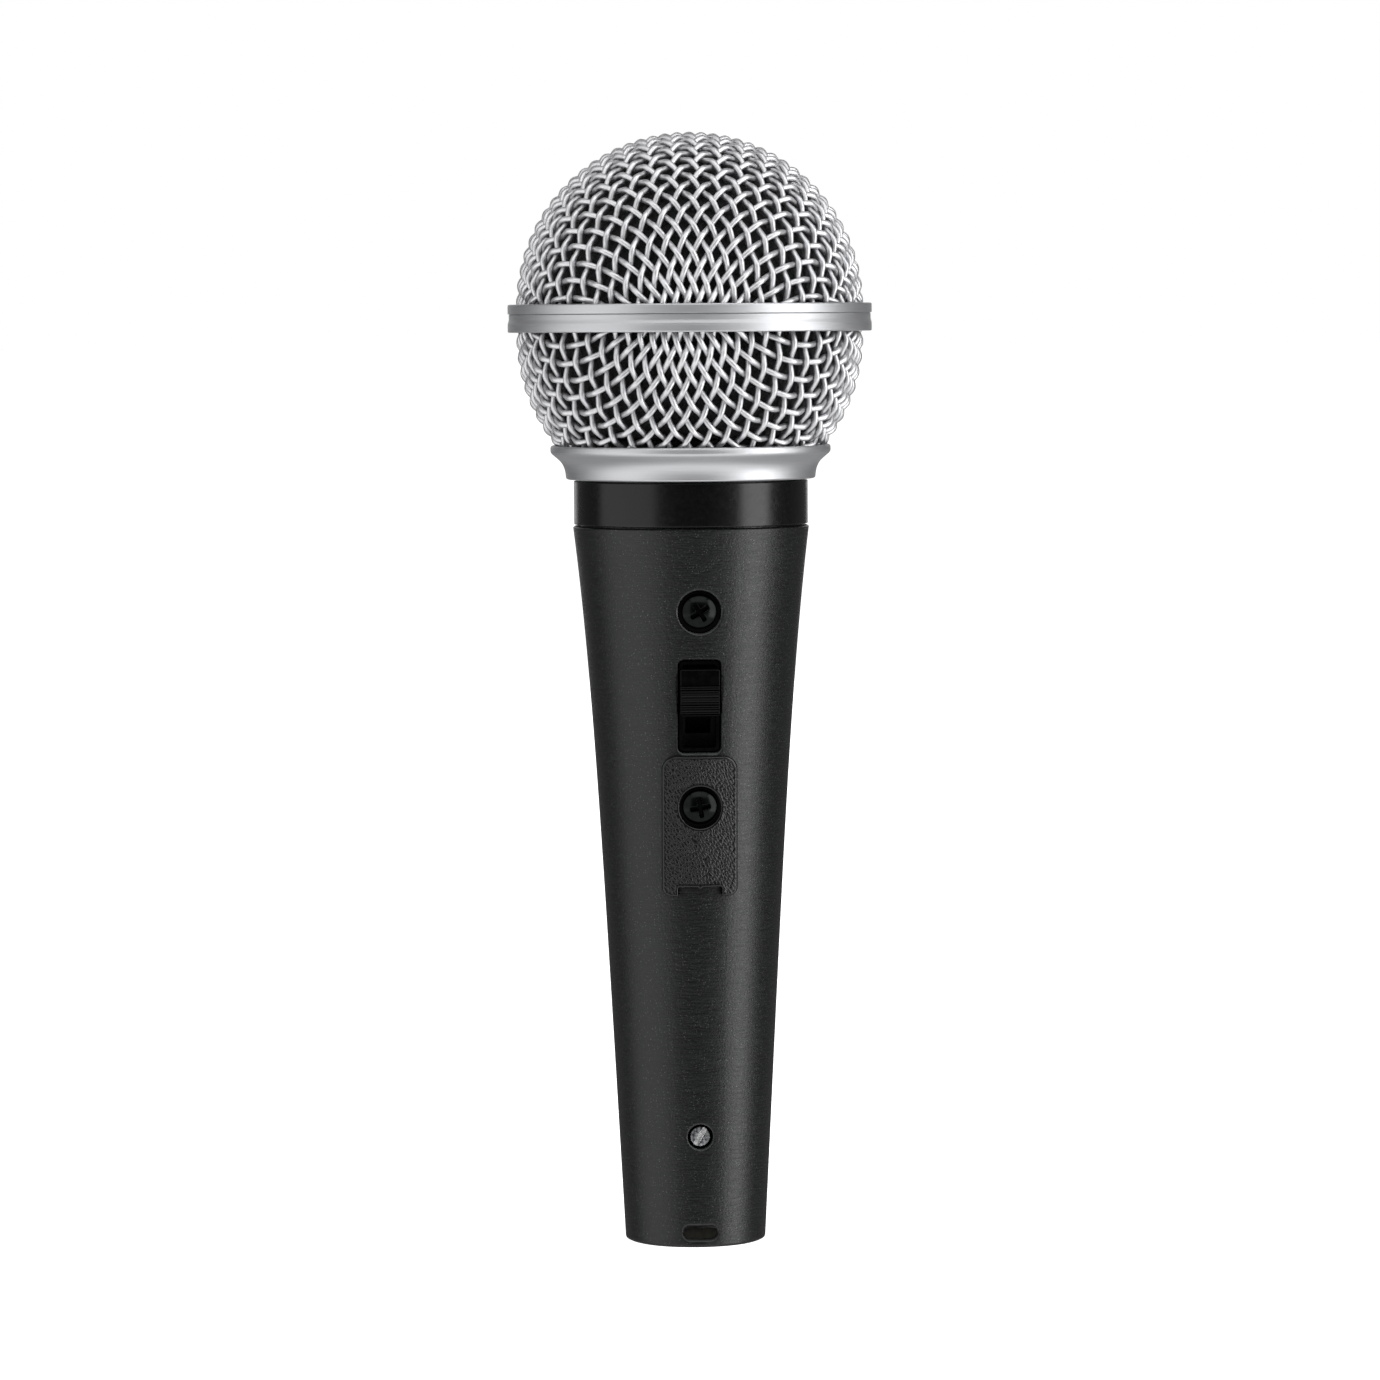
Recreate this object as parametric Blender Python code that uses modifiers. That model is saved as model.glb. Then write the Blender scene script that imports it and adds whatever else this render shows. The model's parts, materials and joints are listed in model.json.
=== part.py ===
"""Handheld dynamic vocal microphone with an on/off slide switch.

Units are metres, +Z runs from the cable end up to the ball grille, and the switch faces -Y.
The origin is the centre of the flat tail end. Driving sizes come first, in millimetres.
"""

import math

import bmesh
import bpy
from mathutils import Matrix, Vector

MM = 0.001

# Rounds: how many flat sides stand in for a circle.
SIDES_BODY = 40
SIDES_BALL = 32
SIDES_INNER = 24
SIDES_SMALL = 16

GAP = 0.3          # clearance between pieces that touch on the real object
SCREW_PLAY = 0.35  # clearance round a screw's shank

# Handle: a die-cast shell that widens slowly from the tail and faster near the top.
HANDLE_LENGTH = 123.4
TAIL_RADIUS = 12.08
HANDLE_TAPER = 0.0525
HANDLE_FLARE = 1.75
HANDLE_FLARE_POWER = 5
HANDLE_WALL = 2.2
EDGE_ROUND = 0.4
SHOULDER_ROUND = 0.25
HANDLE_ROWS = 10
BORE_ROWS = 6

# Tail socket for the cable plug, and the connector insert in it.
SOCKET_RADIUS = 9.75
SOCKET_LIP_RADIUS = 8.6
SOCKET_LIP_HEIGHT = 1.4
INSERT_BOTTOM = 14.0
INSERT_HEIGHT = 10.0
PIN_RADIUS = 1.2
PIN_CIRCLE_RADIUS = 4.0
PIN_TIP_Z = 5.0
PIN_SOLDER_LENGTH = 3.0
INSERT_SCREW_Z = 19.2
INSERT_SCREW_RADIUS = 1.7
INSERT_SCREW_HOLE_RADIUS = 2.2
INSERT_SCREW_RECESS = 0.9
INSERT_SCREW_DEPTH = 3.0
DRIVER_SLOT_WIDTH = 0.5
DRIVER_SLOT_DEPTH = 0.7
LATCH_SLOT_Z = 2.55
LATCH_SLOT_WIDTH = 6.1
LATCH_SLOT_HEIGHT = 2.7

# Threaded neck, name ring and collar.
NECK_RADIUS = 18.9
NECK_HEIGHT = 12.6
NECK_WALL = 2.1
THREAD_PITCH = 1.0
THREAD_DEPTH = 0.4
THREAD_TURNS = 3
RING_HEIGHT = 7.4
RING_RADIUS = 20.12
COLLAR_HEIGHT = 5.8
COLLAR_FOOT_RADIUS = 21.45
COLLAR_LIP_RADIUS = 24.08
COLLAR_LIP_HEIGHT = 1.0
COLLAR_LIP_WALL = 0.4
COLLAR_LAND = 2.1
COLLAR_BORE_PLAY = 0.4

# Ball grille: two wire-mesh bowls in a band.
MESH_RADIUS = 29.8
MESH_WALL = 1.6
MESH_FOOT_DROP = 0.2     # how far the lower bowl's foot sits below the collar's top
MESH_SEAT_PLAY = 0.47763  # from the lower bowl's foot out to the collar's lip
BAND_LIFT = 0.9          # from the lower bowl's centre up to the band
BAND_HEIGHT = 4.8
BAND_WALL = 1.13
BAND_RECESS = 0.2
BAND_RIDGE = 1.6
BOWL_ROWS = 7
BOWL_SPREAD = 5.3        # between the two bowls' centres
FOAM_THICKNESS = 4.0
FOAM_LIFT = 0.5
FOAM_LAP = 1.7           # how far the foam's foot reaches in over the mount's flange, at least

# Cartridge, from its rubber mount up to the front screen.
MOUNT_WALL = 3.2
MOUNT_DEPTH = 8.0
MOUNT_FLANGE = 2.0
CARTRIDGE_WALL = 1.0
REAR_CAVITY_HEIGHT = 11.0
REAR_CAVITY_INSET = 0.4
REAR_CAVITY_WALL = 0.9
LEDGE_RISE = 12.9        # from the cartridge's foot up to the ledge that carries the magnet cup
LEDGE_THICKNESS = 1.2
LEDGE_LAP = 2.2
MAGNET_CUP_INSET = 1.8
MAGNET_CUP_HEIGHT = 9.8
MAGNET_CUP_WALL = 1.4
MAGNET_CUP_FLOOR = 1.5
MAGNET_INSET = 3.6
MAGNET_HEIGHT = 5.0
POLE_INSET = 3.2
POLE_HEIGHT = 3.8
TOP_PLATE_THICKNESS = 1.6
COIL_PLAY = 0.4
COIL_WALL = 0.6
COIL_HEIGHT = 4.8
DIAPHRAGM_THICKNESS = 0.3
DIAPHRAGM_DOME = 1.4
DIAPHRAGM_TRAVEL = 0.2
DIAPHRAGM_HEADROOM = 0.6
CLAMP_RING_THICKNESS = 0.5
CLAMP_RING_WIDTH = 1.2
CAP_WALL = 1.0
CAP_SKIRT = 7.1
CAP_THICKNESS = 1.2
CAP_HEADROOM = 0.9
CAP_HOLE_RADIUS = 1.6
CAP_HOLE_COUNT = 6
SIDE_PORT_COUNT = 8
SIDE_PORT_WIDTH = 3.2
SIDE_PORT_HEIGHT = 5.0
SIDE_PORT_RISE = 6.3     # from the ledge up to the middle of the side ports
SCREEN_THICKNESS = 0.5
SCREEN_INSET = 0.4

# Front features, along the handle's front line. A DROP is a middle's distance below the shoulder.
FRONT_DROP = 30.4
SWITCH_OPENING_WIDTH = 7.4
SWITCH_OPENING_HEIGHT = 16.0
SWITCH_OPENING_ROUND = 1.0
SWITCH_OPENING_DROP = 30.2
BUTTON_WIDTH = 6.7
BUTTON_HEIGHT = 8.0
BUTTON_DROP = 27.67
BUTTON_PROUD = 1.25
BUTTON_DEPTH = 1.8
BUTTON_RIBS = 6
BUTTON_RIB_PITCH = 0.83
BUTTON_RIB_GAP = 0.4
BUTTON_RIB_DEPTH = 0.3
BUTTON_TRAVEL = 5.0
STEM_WIDTH = 3.6
STEM_HEIGHT = 4.6
BEZEL_RIM = 0.55
BEZEL_RIM_TOP = -0.9
BEZEL_BASE_DEPTH = -3.5
BEZEL_BASE_THICKNESS = 0.6
BEZEL_MARGIN = 1.2
BRACKET_WIDTH = 9.0
BRACKET_THICKNESS = 1.2
BRACKET_MARGIN = 4.2
BOSS_RADIUS = 2.6
SWITCH_BODY_WIDTH = 8.6
SWITCH_BODY_HEIGHT = 17.0
SWITCH_BODY_DEPTH = 5.0
SWITCH_POCKET_DEPTH = 2.6
LUG_WIDTH = 1.6
LUG_THICKNESS = 0.5
LUG_LENGTH = 2.3
LUG_SPREAD = 2.4
LUG_PITCH = 5.0

# Screws in the front.
UPPER_SCREW_DROP = 14.09
UPPER_COUNTERBORE_RADIUS = 3.73
UPPER_COUNTERBORE_DEPTH = 1.2
HEAD_RADIUS = 2.83
HEAD_HEIGHT = 1.1
HEAD_EDGE = 0.55
SHANK_RADIUS = 1.25
SHANK_LENGTH = 5.6
CROSS_SPAN = 3.6
CROSS_WIDTH = 1.1
CROSS_DEPTH = 0.7
UPPER_SCREW_TURN = 33.0
LOCK_SCREW_TURN = 10.0

# Lock plate over the front of the handle, just below the switch opening.
PLATE_TOP_DROP = 38.56
PLATE_BOTTOM_DROP = 62.49
PLATE_WIDTH = 12.9
PLATE_THICKNESS = 0.9
PLATE_TOP_ROUND = 2.4
PLATE_FOOT_ROUND = 1.35
PLATE_NOTCH_WIDTH = 7.5
PLATE_NOTCH_DEPTH = 1.6
LOCK_SCREW_DROP = 47.25
PLATE_COUNTERBORE_RADIUS = 3.55
PLATE_BOSS_RADIUS = 4.1
PLATE_BOSS_FLOOR = 0.6
PLATE_BOSS_DEPTH = 0.7

# Transformer in the lower handle.
CORE_WIDTH = 14.0
CORE_HEIGHT = 17.0
CORE_BOTTOM = 37.0
CORE_WINDOW = 3.0
COIL_FORM_MARGIN = 1.0
CRADLE_THICKNESS = 4.0
CRADLE_Z = 40.0

# Leads inside the handle.
LEAD_RADIUS = 0.4
LEAD_SPREAD = 2.2
LEAD_POINTS = 14
LEAD_DROP = 14.0   # a switch lead's bend below its lug,
LEAD_RISE = 21.0   # and above the transformer at most


# Heights and radii that follow from the sizes above.
FRONT_Z = HANDLE_LENGTH - FRONT_DROP
SWITCH_OPENING_Z = HANDLE_LENGTH - SWITCH_OPENING_DROP
BUTTON_Z = HANDLE_LENGTH - BUTTON_DROP
UPPER_SCREW_Z = HANDLE_LENGTH - UPPER_SCREW_DROP
LOCK_SCREW_Z = HANDLE_LENGTH - LOCK_SCREW_DROP
PLATE_TOP = HANDLE_LENGTH - PLATE_TOP_DROP
PLATE_BOTTOM = HANDLE_LENGTH - PLATE_BOTTOM_DROP
NECK_TOP = HANDLE_LENGTH + NECK_HEIGHT
NECK_BORE_RADIUS = NECK_RADIUS - NECK_WALL
SOCKET_TOP = INSERT_BOTTOM + INSERT_HEIGHT + GAP
BORE_START = SOCKET_TOP + SOCKET_LIP_HEIGHT + 4.0
BORE_END = HANDLE_LENGTH - 4.0
RING_BOTTOM = HANDLE_LENGTH + GAP
COLLAR_BOTTOM = RING_BOTTOM + RING_HEIGHT + GAP
COLLAR_TOP = COLLAR_BOTTOM + COLLAR_HEIGHT
COLLAR_BORE_RADIUS = NECK_RADIUS + COLLAR_BORE_PLAY
MESH_INNER = MESH_RADIUS - MESH_WALL
MESH_FOOT = COLLAR_TOP - MESH_FOOT_DROP
MESH_FOOT_RADIUS = COLLAR_LIP_RADIUS - COLLAR_LIP_WALL - MESH_SEAT_PLAY
LOWER_BOWL_CENTRE = MESH_FOOT + math.sqrt(MESH_RADIUS ** 2 - MESH_FOOT_RADIUS ** 2)
UPPER_BOWL_CENTRE = LOWER_BOWL_CENTRE + BOWL_SPREAD
BAND_BOTTOM = LOWER_BOWL_CENTRE + BAND_LIFT
BAND_TOP = BAND_BOTTOM + BAND_HEIGHT
BAND_MIDDLE = BAND_BOTTOM + BAND_HEIGHT / 2
BAND_INNER = MESH_RADIUS + GAP
BAND_RADIUS = BAND_INNER + BAND_WALL
MOUNT_FOOT = NECK_TOP - MOUNT_DEPTH
MOUNT_FLANGE_RADIUS = NECK_RADIUS - GAP
CARTRIDGE_RADIUS = NECK_BORE_RADIUS - GAP - MOUNT_WALL - GAP
CARTRIDGE_BOTTOM = MOUNT_FOOT + GAP
LEDGE_Z = CARTRIDGE_BOTTOM + LEDGE_RISE
SIDE_PORT_Z = LEDGE_Z + SIDE_PORT_RISE
REAR_CAVITY_RADIUS = CARTRIDGE_RADIUS - REAR_CAVITY_INSET
MAGNET_CUP_RADIUS = CARTRIDGE_RADIUS - MAGNET_CUP_INSET
MAGNET_RADIUS = MAGNET_CUP_RADIUS - MAGNET_INSET
POLE_RADIUS = MAGNET_CUP_RADIUS - POLE_INSET
LEDGE_RADIUS = MAGNET_CUP_RADIUS - LEDGE_LAP
CAP_HOLE_CIRCLE = CARTRIDGE_RADIUS / 2
SCREEN_RADIUS = CARTRIDGE_RADIUS - SCREEN_INSET
CUP_LOW = LEDGE_Z + LEDGE_THICKNESS + GAP
CUP_HIGH = CUP_LOW + MAGNET_CUP_HEIGHT
TOP_PLATE_LOW = CUP_HIGH + GAP
TOP_PLATE_HIGH = TOP_PLATE_LOW + TOP_PLATE_THICKNESS
CLAMP_RING_LOW = TOP_PLATE_HIGH + GAP
CLAMP_RING_HIGH = CLAMP_RING_LOW + CLAMP_RING_THICKNESS
FILM_LOW = CLAMP_RING_HIGH + GAP + DIAPHRAGM_TRAVEL
CARTRIDGE_TOP = FILM_LOW + DIAPHRAGM_DOME + DIAPHRAGM_THICKNESS + DIAPHRAGM_HEADROOM
PLATE_SCREW_SEAT = PLATE_BOSS_FLOOR - PLATE_BOSS_DEPTH


def handle_radius(z):
    """Outer radius of the handle, in mm, at a height in mm."""
    flare = HANDLE_FLARE * (z / HANDLE_LENGTH) ** HANDLE_FLARE_POWER
    return TAIL_RADIUS + HANDLE_TAPER * z + flare


def handle_slope(z):
    """How fast the handle's radius grows with height."""
    share = (z / HANDLE_LENGTH) ** (HANDLE_FLARE_POWER - 1)
    return HANDLE_TAPER + HANDLE_FLARE * HANDLE_FLARE_POWER / HANDLE_LENGTH * share


def clear_scene():
    for old in list(bpy.data.objects):
        bpy.data.objects.remove(old)


def new_collection(name):
    collection = bpy.data.collections.new(name)
    bpy.context.scene.collection.children.link(collection)
    return collection


clear_scene()
PARTS = new_collection("dynamic_microphone")
CUTTERS = new_collection("cutters")
CUTTERS.hide_render = True


def linear(hex_colour):
    """An sRGB hex colour as linear red, green, blue and alpha."""
    channels = [int(hex_colour[i:i + 2], 16) / 255 for i in (1, 3, 5)]
    curve = [c / 12.92 if c <= 0.04045 else ((c + 0.055) / 1.055) ** 2.4 for c in channels]
    return (*curve, 1.0)


def material(name, hex_colour, roughness, metallic=0.0):
    made = bpy.data.materials.new(name)
    made.use_nodes = True
    shader = made.node_tree.nodes["Principled BSDF"]
    shader.inputs["Base Color"].default_value = linear(hex_colour)
    shader.inputs["Roughness"].default_value = roughness
    shader.inputs["Metallic"].default_value = metallic
    return made


ENAMEL = material("charcoal_enamel", "#3a3c3b", 0.5)
NICKEL = material("satin_nickel", "#c8c9cb", 0.3, 1.0)
WIRE = material("nickel_wire", "#c3c4c6", 0.28, 1.0)
RING_BLACK = material("black_ring_lacquer", "#17181a", 0.4)
BUTTON_BLACK = material("black_nylon", "#0c0d0d", 0.35)
PLATE_BLACK = material("grained_black_plate", "#1b1c1c", 0.45)
SCREW_BLACK = material("black_oxide_screw", "#131414", 0.3, 0.6)
SCREW_STEEL = material("bright_screw_steel", "#b9bbbd", 0.3, 1.0)
FOAM = material("black_foam", "#0d0d0e", 0.95)
RUBBER = material("black_rubber", "#161616", 0.8)
HOUSING_GREY = material("grey_moulding", "#55585a", 0.5)
SOFT_IRON = material("soft_iron", "#8f9294", 0.35, 1.0)
MAGNET_GREY = material("sintered_magnet", "#5d6063", 0.45, 0.8)
COPPER = material("enamelled_copper", "#a5622d", 0.35, 0.9)
FILM = material("polyester_film", "#c9b98a", 0.25)
FELT = material("screen_felt", "#3b3d40", 0.95)
BOARD_BROWN = material("phenolic_board", "#5a3a22", 0.5)
TIN = material("tinned_brass", "#c9c3b2", 0.3, 1.0)
INSERT_BLACK = material("black_insert", "#101112", 0.5)
BOBBIN = material("bobbin_nylon", "#d9d3c0", 0.5)
LAMINATION = material("core_lamination", "#6f7274", 0.45, 0.9)
LEAD_RED = material("lead_red", "#8e1f1c", 0.45)
LEAD_GREEN = material("lead_green", "#1d5a33", 0.45)
LEAD_BLACK = material("lead_black", "#151515", 0.45)
LEAD_YELLOW = material("lead_yellow", "#b7972c", 0.45)


def put(name, mesh, collection, finish=None):
    """Makes an object of a mesh, in a collection."""
    thing = bpy.data.objects.new(name, mesh)
    collection.objects.link(thing)
    if collection is CUTTERS:
        thing.hide_render = True
        thing.display_type = "WIRE"
    if finish:
        mesh.materials.append(finish)
    return thing


def turned(name, profile, finish=None, sides=SIDES_INNER, loop=False, collection=None):
    """A turned piece: profile points (radius, z) in mm run down the outside, then back up the bore."""
    mesh = bpy.data.meshes.new(name)
    points = [(radius * MM, 0.0, z * MM) for radius, z in profile]
    edges = [(i, i + 1) for i in range(len(points) - 1)]
    if loop:
        edges.append((len(points) - 1, 0))
    mesh.from_pydata(points, edges, [])
    thing = put(name, mesh, collection or PARTS, finish)
    screw = thing.modifiers.new("turn", "SCREW")
    screw.steps = sides
    screw.render_steps = sides
    screw.use_merge_vertices = True
    screw.merge_threshold = 1e-6
    screw.use_smooth_shade = True
    return thing


def arc(centre_z, radius, start, end, count):
    """Points (radius, z) of an arc about the axis; angles in degrees above the horizontal."""
    angles = [math.radians(start + (end - start) * i / count) for i in range(count + 1)]
    return [(radius * math.cos(a), centre_z + radius * math.sin(a)) for a in angles]


def on_axis(points, which):
    """The same points, with the one at the pole set exactly on the axis."""
    fixed = list(points)
    fixed[which] = (0.0, fixed[which][1])
    return fixed


def block(name, size, finish=None, rounding=0.0, axis="Y", collection=None):
    """A block centred on its origin, its edges along one axis rounded."""
    mesh = bpy.data.meshes.new(name)
    shape = bmesh.new()
    bmesh.ops.create_cube(shape, size=1.0, matrix=Matrix.Diagonal((*[s * MM for s in size], 1.0)))
    if rounding:
        round_edges(shape, "XYZ".index(axis), lambda middle: rounding)
    shape.to_mesh(mesh)
    shape.free()
    return put(name, mesh, collection or PARTS, finish)


def round_edges(shape, along, radius_at):
    """Rounds the edges that run along one axis, each by the radius (mm) for its middle."""
    groups = {}
    for edge in shape.edges:
        run = edge.verts[1].co - edge.verts[0].co
        if abs(run[along]) > 0.99 * run.length:
            middle = (edge.verts[0].co + edge.verts[1].co) / 2
            groups.setdefault(radius_at(middle), []).append(edge)
    for radius, edges in sorted(groups.items(), key=lambda group: group[0]):
        bmesh.ops.bevel(shape, geom=edges, offset=radius * MM, segments=4, affect="EDGES", profile=0.5)


def rod(name, radius, start, end, finish=None, sides=SIDES_SMALL, collection=None):
    """A cylinder along its own Z, from start to end in mm."""
    mesh = bpy.data.meshes.new(name)
    shape = bmesh.new()
    middle = Matrix.Translation((0, 0, (start + end) / 2 * MM))
    bmesh.ops.create_cone(
        shape, cap_ends=True, segments=sides, radius1=radius * MM, radius2=radius * MM,
        depth=abs(end - start) * MM, matrix=middle)
    shape.to_mesh(mesh)
    shape.free()
    return put(name, mesh, collection or PARTS, finish)


def combine(thing, other, operation):
    """Adds an exact Boolean to a piece."""
    step = thing.modifiers.new(operation.lower() + "_" + other.name, "BOOLEAN")
    step.operation = operation
    step.object = other
    step.solver = "EXACT"


def empty(name, location, rotation=(0, 0, 0)):
    marker = bpy.data.objects.new(name, None)
    marker.location = location
    marker.rotation_euler = rotation
    PARTS.objects.link(marker)
    return marker


# The front frame: its origin is on the handle's front line at FRONT_Z, its Z runs up along
# the surface and its -Y points straight out of it.
FRONT_TILT = math.atan(handle_slope(FRONT_Z))
FRONT = empty("front_frame", (0, -handle_radius(FRONT_Z) * MM, FRONT_Z * MM), (FRONT_TILT, 0, 0))
bpy.context.view_layer.update()
OUTWARD = (math.radians(90), 0, 0)   # turns a piece's own Z out of the handle's front


def up_front(z):
    """Distance along the front line, in mm, of a point at height z."""
    return (z - FRONT_Z) / math.cos(FRONT_TILT)


def on_front(thing, z, out=0.0, side=0.0, turn=(0, 0, 0)):
    """Places a piece in the front frame: at a height, out of the surface and to a side, in mm."""
    thing.parent = FRONT
    thing.location = (side * MM, -out * MM, up_front(z) * MM)
    thing.rotation_euler = turn
    return thing


def front_point(z, side, out):
    """World point, in mm, of a place in the front frame."""
    point = FRONT.matrix_world @ Vector((side * MM, -out * MM, up_front(z) * MM))
    return tuple(point / MM)


# --- Handle, name ring and connector ---------------------------------------------------------

def handle_profile():
    """Outside from the neck down to the tail, then up the bore."""
    thread_top = NECK_TOP - 0.4
    outside = [(NECK_RADIUS - THREAD_DEPTH, NECK_TOP)]
    for turn in range(THREAD_TURNS):
        crest = thread_top - turn * THREAD_PITCH
        outside.append((NECK_RADIUS, crest - 0.2))
        outside.append((NECK_RADIUS, crest - 0.4))
        outside.append((NECK_RADIUS - THREAD_DEPTH, crest - 0.8))
    outside.append((NECK_RADIUS, thread_top - THREAD_TURNS * THREAD_PITCH - 0.2))
    outside.append((NECK_RADIUS, HANDLE_LENGTH))
    top_edge = handle_radius(HANDLE_LENGTH)
    outside.append((top_edge - SHOULDER_ROUND, HANDLE_LENGTH))
    outside.append((top_edge, HANDLE_LENGTH - SHOULDER_ROUND))
    span = HANDLE_LENGTH - SHOULDER_ROUND - EDGE_ROUND
    for row in range(1, HANDLE_ROWS):
        z = HANDLE_LENGTH - SHOULDER_ROUND - span * row / HANDLE_ROWS
        outside.append((handle_radius(z), z))
    outside.append((handle_radius(EDGE_ROUND), EDGE_ROUND))
    outside.append((handle_radius(0) - EDGE_ROUND, 0.0))
    bore = [(SOCKET_RADIUS, 0.0), (SOCKET_RADIUS, SOCKET_TOP)]
    bore.append((SOCKET_LIP_RADIUS, SOCKET_TOP))
    bore.append((SOCKET_LIP_RADIUS, SOCKET_TOP + SOCKET_LIP_HEIGHT))
    for row in range(BORE_ROWS + 1):
        z = BORE_START + (BORE_END - BORE_START) * row / BORE_ROWS
        bore.append((handle_radius(z) - HANDLE_WALL, z))
    bore.append((NECK_BORE_RADIUS, HANDLE_LENGTH))
    bore.append((NECK_BORE_RADIUS, NECK_TOP))
    return outside + bore


def build_handle():
    handle = turned("handle", handle_profile(), ENAMEL, SIDES_BODY, loop=True)
    depth = 4 * HANDLE_WALL
    opening = block("cut_switch_opening", (SWITCH_OPENING_WIDTH, depth, SWITCH_OPENING_HEIGHT),
                    rounding=SWITCH_OPENING_ROUND, collection=CUTTERS)
    on_front(opening, SWITCH_OPENING_Z)
    counterbore = rod("cut_upper_counterbore", UPPER_COUNTERBORE_RADIUS,
                      -UPPER_COUNTERBORE_DEPTH, depth / 2, sides=SIDES_INNER, collection=CUTTERS)
    on_front(counterbore, UPPER_SCREW_Z, turn=OUTWARD)
    boss_seat = rod("cut_plate_boss_seat", PLATE_BOSS_RADIUS + GAP, -PLATE_BOSS_DEPTH - GAP,
                    depth / 2, sides=SIDES_INNER, collection=CUTTERS)
    on_front(boss_seat, LOCK_SCREW_Z, turn=OUTWARD)
    holes = []
    for name, z in (("cut_upper_hole", UPPER_SCREW_Z), ("cut_lock_hole", LOCK_SCREW_Z)):
        hole = rod(name, SHANK_RADIUS + SCREW_PLAY, -depth / 2, depth / 2, collection=CUTTERS)
        holes.append(on_front(hole, z, turn=OUTWARD))
    insert_hole = rod("cut_insert_screw_hole", INSERT_SCREW_HOLE_RADIUS,
                      SOCKET_RADIUS - 2.0, handle_radius(INSERT_SCREW_Z) + 2.0, collection=CUTTERS)
    insert_hole.location = (0, 0, INSERT_SCREW_Z * MM)
    insert_hole.rotation_euler = OUTWARD
    latch = block("cut_latch_slot", (LATCH_SLOT_WIDTH, depth, LATCH_SLOT_HEIGHT),
                  rounding=0.48 * LATCH_SLOT_HEIGHT, collection=CUTTERS)
    latch.location = (0, -handle_radius(LATCH_SLOT_Z) * MM, LATCH_SLOT_Z * MM)
    for cutter in (opening, counterbore, boss_seat, *holes, insert_hole, latch):
        combine(handle, cutter, "DIFFERENCE")


def build_name_ring():
    low = RING_BOTTOM
    high = RING_BOTTOM + RING_HEIGHT
    inner = NECK_RADIUS + GAP
    turned("name_ring", [
        (inner, high), (RING_RADIUS - 0.15, high), (RING_RADIUS, high - 0.15),
        (RING_RADIUS, low + 0.15), (RING_RADIUS - 0.15, low), (inner, low)],
        RING_BLACK, SIDES_BODY, loop=True)


def build_connector():
    top = INSERT_BOTTOM + INSERT_HEIGHT
    insert = rod("connector_insert", SOCKET_RADIUS - GAP, INSERT_BOTTOM, top, INSERT_BLACK, SIDES_INNER)
    for number in range(3):
        angle = math.radians(90 + 120 * number)
        place = (PIN_CIRCLE_RADIUS * math.cos(angle) * MM, PIN_CIRCLE_RADIUS * math.sin(angle) * MM, 0)
        hole = rod(f"cut_pin_hole_{number + 1}", PIN_RADIUS + GAP, INSERT_BOTTOM - 1, top + 1,
                   collection=CUTTERS)
        hole.location = place
        combine(insert, hole, "DIFFERENCE")
        pin = turned(f"connector_pin_{number + 1}", [
            (0, top + PIN_SOLDER_LENGTH), (PIN_RADIUS, top + PIN_SOLDER_LENGTH),
            (PIN_RADIUS, PIN_TIP_Z + 0.6), (0.5 * PIN_RADIUS, PIN_TIP_Z), (0, PIN_TIP_Z)],
            TIN, SIDES_SMALL)
        pin.location = place
    screw_top = handle_radius(INSERT_SCREW_Z) - INSERT_SCREW_RECESS
    screw_end = SOCKET_RADIUS - INSERT_SCREW_DEPTH
    pocket = rod("cut_insert_thread", INSERT_SCREW_RADIUS + GAP, screw_end - GAP, SOCKET_RADIUS + 1,
                 collection=CUTTERS)
    pocket.location = (0, 0, INSERT_SCREW_Z * MM)
    pocket.rotation_euler = OUTWARD
    combine(insert, pocket, "DIFFERENCE")
    screw = rod("connector_screw", INSERT_SCREW_RADIUS, screw_end, screw_top, SCREW_STEEL)
    slot = block("cut_driver_slot", (3 * INSERT_SCREW_RADIUS, DRIVER_SLOT_WIDTH, 2 * DRIVER_SLOT_DEPTH),
                 collection=CUTTERS)
    slot.parent = screw
    slot.location = (0, 0, screw_top * MM)
    slot.rotation_euler = (0, 0, math.radians(50))
    combine(screw, slot, "DIFFERENCE")
    screw.location = (0, 0, INSERT_SCREW_Z * MM)
    screw.rotation_euler = OUTWARD


# --- Screws, lock plate and switch -----------------------------------------------------------

def pan_screw(name, z, seat, turn_degrees):
    """A cross-head pan screw whose head's underside is at a height above the surface, in mm."""
    screw = turned(name, [
        (0, HEAD_HEIGHT), (0.5 * HEAD_RADIUS, HEAD_HEIGHT - 0.08), (0.82 * HEAD_RADIUS, HEAD_HEIGHT - 0.28),
        (HEAD_RADIUS, HEAD_EDGE), (HEAD_RADIUS, 0), (SHANK_RADIUS, 0), (SHANK_RADIUS, -SHANK_LENGTH),
        (0, -SHANK_LENGTH)], SCREW_BLACK, SIDES_INNER)
    across = block("cut_" + name + "_cross", (CROSS_SPAN, CROSS_WIDTH, 2 * CROSS_DEPTH), collection=CUTTERS)
    along = block("cut_" + name + "_cross_2", (CROSS_WIDTH, CROSS_SPAN, 2 * CROSS_DEPTH),
                  collection=CUTTERS)
    for bar in (across, along):
        bar.parent = screw
        bar.location = (0, 0, HEAD_HEIGHT * MM)
        bar.rotation_euler = (0, 0, math.radians(turn_degrees))
        combine(screw, bar, "DIFFERENCE")
    return on_front(screw, z, out=seat, turn=OUTWARD)


def build_screws():
    pan_screw("handle_screw", UPPER_SCREW_Z, GAP - UPPER_COUNTERBORE_DEPTH, UPPER_SCREW_TURN)
    pan_screw("lock_screw", LOCK_SCREW_Z, PLATE_SCREW_SEAT + GAP, LOCK_SCREW_TURN)


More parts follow.
